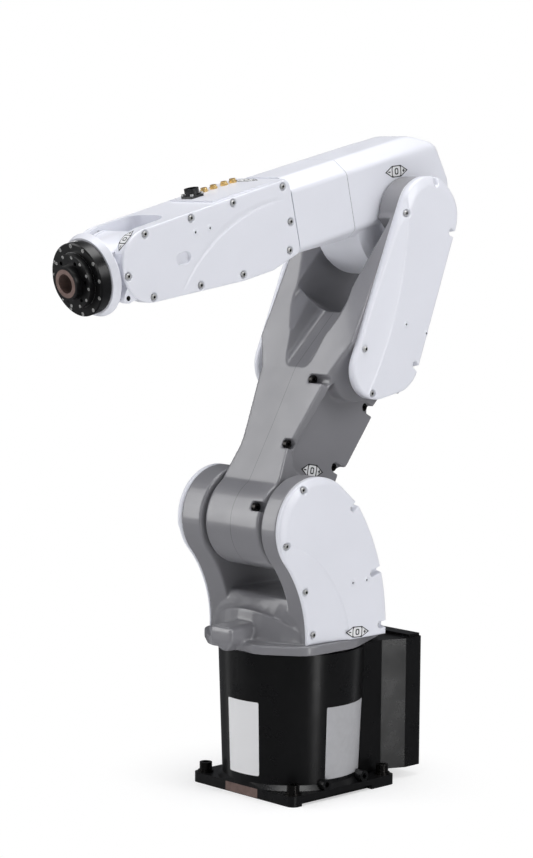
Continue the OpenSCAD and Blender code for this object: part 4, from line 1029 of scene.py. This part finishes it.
def on_top(plane, x, y, z):
    """Place on a top face at z of a frame, with s along Y and t along -X."""
    def place(s, t, lift):
        return plane @ Vector(((x - t) * MM, (y + s) * MM, (z + lift) * MM))
    return place


def on_barrel(plane, radius, around, y):
    """Place on a cylinder about the Y axis of a frame, with s round it and t along Y. around is the angle
    from X towards Z in degrees."""
    def place(s, t, lift):
        a = math.radians(around) + s / radius
        r = radius + lift
        return plane @ Vector((r * math.cos(a) * MM, (y + t) * MM, r * math.sin(a) * MM))
    return place


def on_ring(plane, radius, around, x):
    """Place on a cylinder about the X axis of a frame, with s round it and t along -X. around is the angle
    from Z towards Y in degrees."""
    def place(s, t, lift):
        a = math.radians(around) + s / radius
        r = radius + lift
        return plane @ Vector(((x - t) * MM, r * math.sin(a) * MM, r * math.cos(a) * MM))
    return place


COLUMN_FOOT_Z = 13.0
COLUMN_FOOT_R = 87.0
COLUMN_TOP_Z = 184.0
COLUMN_TOP_R = 93.5
COLUMN_MEAN_R = 90.0
PLATE_FRONT = 86.0


def on_column(azimuth, z):
    """Place on the cone of the base column, with s to the right as seen from outside and t up."""
    def place(s, t, lift):
        height = z + t
        part = (height - COLUMN_FOOT_Z) / (COLUMN_TOP_Z - COLUMN_FOOT_Z)
        r = COLUMN_FOOT_R + part * (COLUMN_TOP_R - COLUMN_FOOT_R) + lift
        a = math.radians(azimuth) + s / COLUMN_MEAN_R
        return Vector((r * math.cos(a) * MM, r * math.sin(a) * MM, height * MM))
    return place


def on_front_edge(s, t, lift):
    """Place on the front edge of the base plate, with s along Y and t up."""
    return Vector(((PLATE_FRONT + lift) * MM, s * MM, t * MM))


# Marks of the six axes: body, place, length and height in mm
MARKS = {
    "turn_mark": ("turret", on_side(IN_SHOULDER, -70, -137, 97.0, 3.7), 42, 14),
    "shoulder_mark": ("upper_arm", on_side(IN_ARM, -10, 76, 40.0, -16.4), 40, 16),
    "elbow_mark": ("elbow", on_side(IN_ELBOW, 1.7, 57.7, 48.0, 7.4), 42, 15),
    "roll_mark": ("forearm", on_top(IN_FORE, -225, -13, 48.0), 42, 15),
    "bend_mark": ("forearm", on_barrel(IN_FORE, 44.0, 57, 36.5), 34, 12),
    "tool_mark": ("wrist", on_ring(IN_FORE, 44.0, -9, 66.5), 24, 9),
}
PLATE_T = 0.4
PAD_T = 0.3


def make_marks(materials):
    """Marks of the axes, two bare plates on the column and the pad on the base plate's front edge."""
    for name, (body, place, length, height) in MARKS.items():
        turning_mark(name, body, place, length, height, materials)
    front = box_outline(-26, -47, 26, 47, 2)
    plate = patch("front_plate", "base", on_column(2.5, 75), front, materials["mark_white"], PLATE_T)
    side = box_outline(-39, -46, 39, 46, 1)
    patch("side_plate", "base", on_column(100, 70), side, materials["foil"], PLATE_T)
    edge = box_outline(-29, 0.8, 29, 12.2, 0.5)
    pad = patch("rating_pad", "base", on_front_edge, edge, materials["bronze"], PAD_T)


# Lugs at the wrist, in mm in the wrist's frame

LUG_R = 6.0

# Screw in a lug: radius and lift of its discs, and the step round them. The wide flat disc is painted shade
# of the screw's hole, the raised one is the black head.
LUG_SCREW_AND_HOLE_SHADE = ((3.0, 0.05), (2.2, 0.9))
DISC_ARC = 0.8

# Lugs: body, x and z of the middle, y of the inner face, thickness, and (x, z, r) of the root
LUGS = {
    "nose_lug": ("forearm", 42.0, -29.0, 36.0, 10.0, (24.0, -18.0, 14.0)),
    "wrist_lug": ("wrist", 47.0, -30.0, 17.0, 11.5, (34.0, -18.0, 12.0)),
}


def make_lugs(materials):
    """Lugs with black screw heads under the forearm's nose and under the wrist housing, each on a flat black
    disc that paints the shade of its hole.
    """
    for name, (body, x, z, depth, thick, root) in LUGS.items():
        outline = [(-u, v) for u, v in belt([(x, z, LUG_R), root])][::-1]
        lug = patch(name, body, on_side(IN_FORE, 0.0, 0.0, depth), outline, materials["white_paint"], thick)
        place = on_side(IN_FORE, x, z, depth + thick)
        # Black discs: the flat wide one is painted shade of the hole, the raised one is the screw head
        for r, lift in LUG_SCREW_AND_HOLE_SHADE:
            disc = arc((0, 0), r, 0, 345, DISC_ARC)
            patch(f"{name}_screw_{int(10 * lift)}", body, place, disc, materials["black_steel"], lift)


# Floor

FLOOR_HALF = 6.0
FLOOR_COLOUR = (0.9, 0.9, 0.9, 1.0)
FLOOR_ROUGHNESS = 0.9
FLOOR_SPECULAR = 0.1
FLOOR_GLOW = 0.25
FLOOR_FADE_START = 0.0
FLOOR_FADE_END = 0.28


def make_floor():
    """White floor that keeps the shadow near the object and fades into the background away from it."""
    mesh = bpy.data.meshes.new("floor")
    corners = [(x, y, 0.0) for x, y in box_outline(-FLOOR_HALF, -FLOOR_HALF, FLOOR_HALF, FLOOR_HALF)]
    mesh.from_pydata(corners, [], [(0, 1, 2, 3)])
    floor = add_object("floor", mesh)
    mat, nodes, links, shader = new_material("floor_paper")
    shader.inputs["Base Color"].default_value = FLOOR_COLOUR
    shader.inputs["Roughness"].default_value = FLOOR_ROUGHNESS
    shader.inputs["Specular IOR Level"].default_value = FLOOR_SPECULAR
    shader.inputs["Emission Color"].default_value = PURE_WHITE
    shader.inputs["Emission Strength"].default_value = FLOOR_GLOW
    coords = nodes.new("ShaderNodeTexCoord")
    length = nodes.new("ShaderNodeVectorMath")
    length.operation = "LENGTH"
    links.new(coords.outputs["Object"], length.inputs[0])
    fade = nodes.new("ShaderNodeMapRange")
    fade.interpolation_type = "SMOOTHSTEP"
    fade.inputs["From Min"].default_value = FLOOR_FADE_START
    fade.inputs["From Max"].default_value = FLOOR_FADE_END
    links.new(length.outputs["Value"], fade.inputs["Value"])
    path = nodes.new("ShaderNodeLightPath")
    clear = nodes.new("ShaderNodeBsdfTransparent")
    paper = nodes.new("ShaderNodeMixShader")
    links.new(path.outputs["Is Glossy Ray"], paper.inputs["Fac"])
    links.new(shader.outputs[0], paper.inputs[1])
    links.new(clear.outputs[0], paper.inputs[2])
    seen = nodes.new("ShaderNodeMath")
    seen.operation = "MULTIPLY"
    links.new(fade.outputs["Result"], seen.inputs[0])
    links.new(path.outputs["Is Camera Ray"], seen.inputs[1])
    glow = nodes.new("ShaderNodeEmission")
    glow.inputs["Color"].default_value = PURE_WHITE
    mix = nodes.new("ShaderNodeMixShader")
    out = nodes["Material Output"]
    links.new(seen.outputs["Value"], mix.inputs["Fac"])
    links.new(paper.outputs[0], mix.inputs[1])
    links.new(glow.outputs[0], mix.inputs[2])
    links.new(mix.outputs[0], out.inputs["Surface"])
    floor.data.materials.append(mat)


# The whole scene

bpy.context.scene.view_settings.view_transform = "Standard"
materials = make_materials()
make_camera()
make_world()
make_lights()
make_floor()
dress_nodes(materials)
make_castings(materials)
make_covers(materials)
make_marks(materials)
make_lugs(materials)
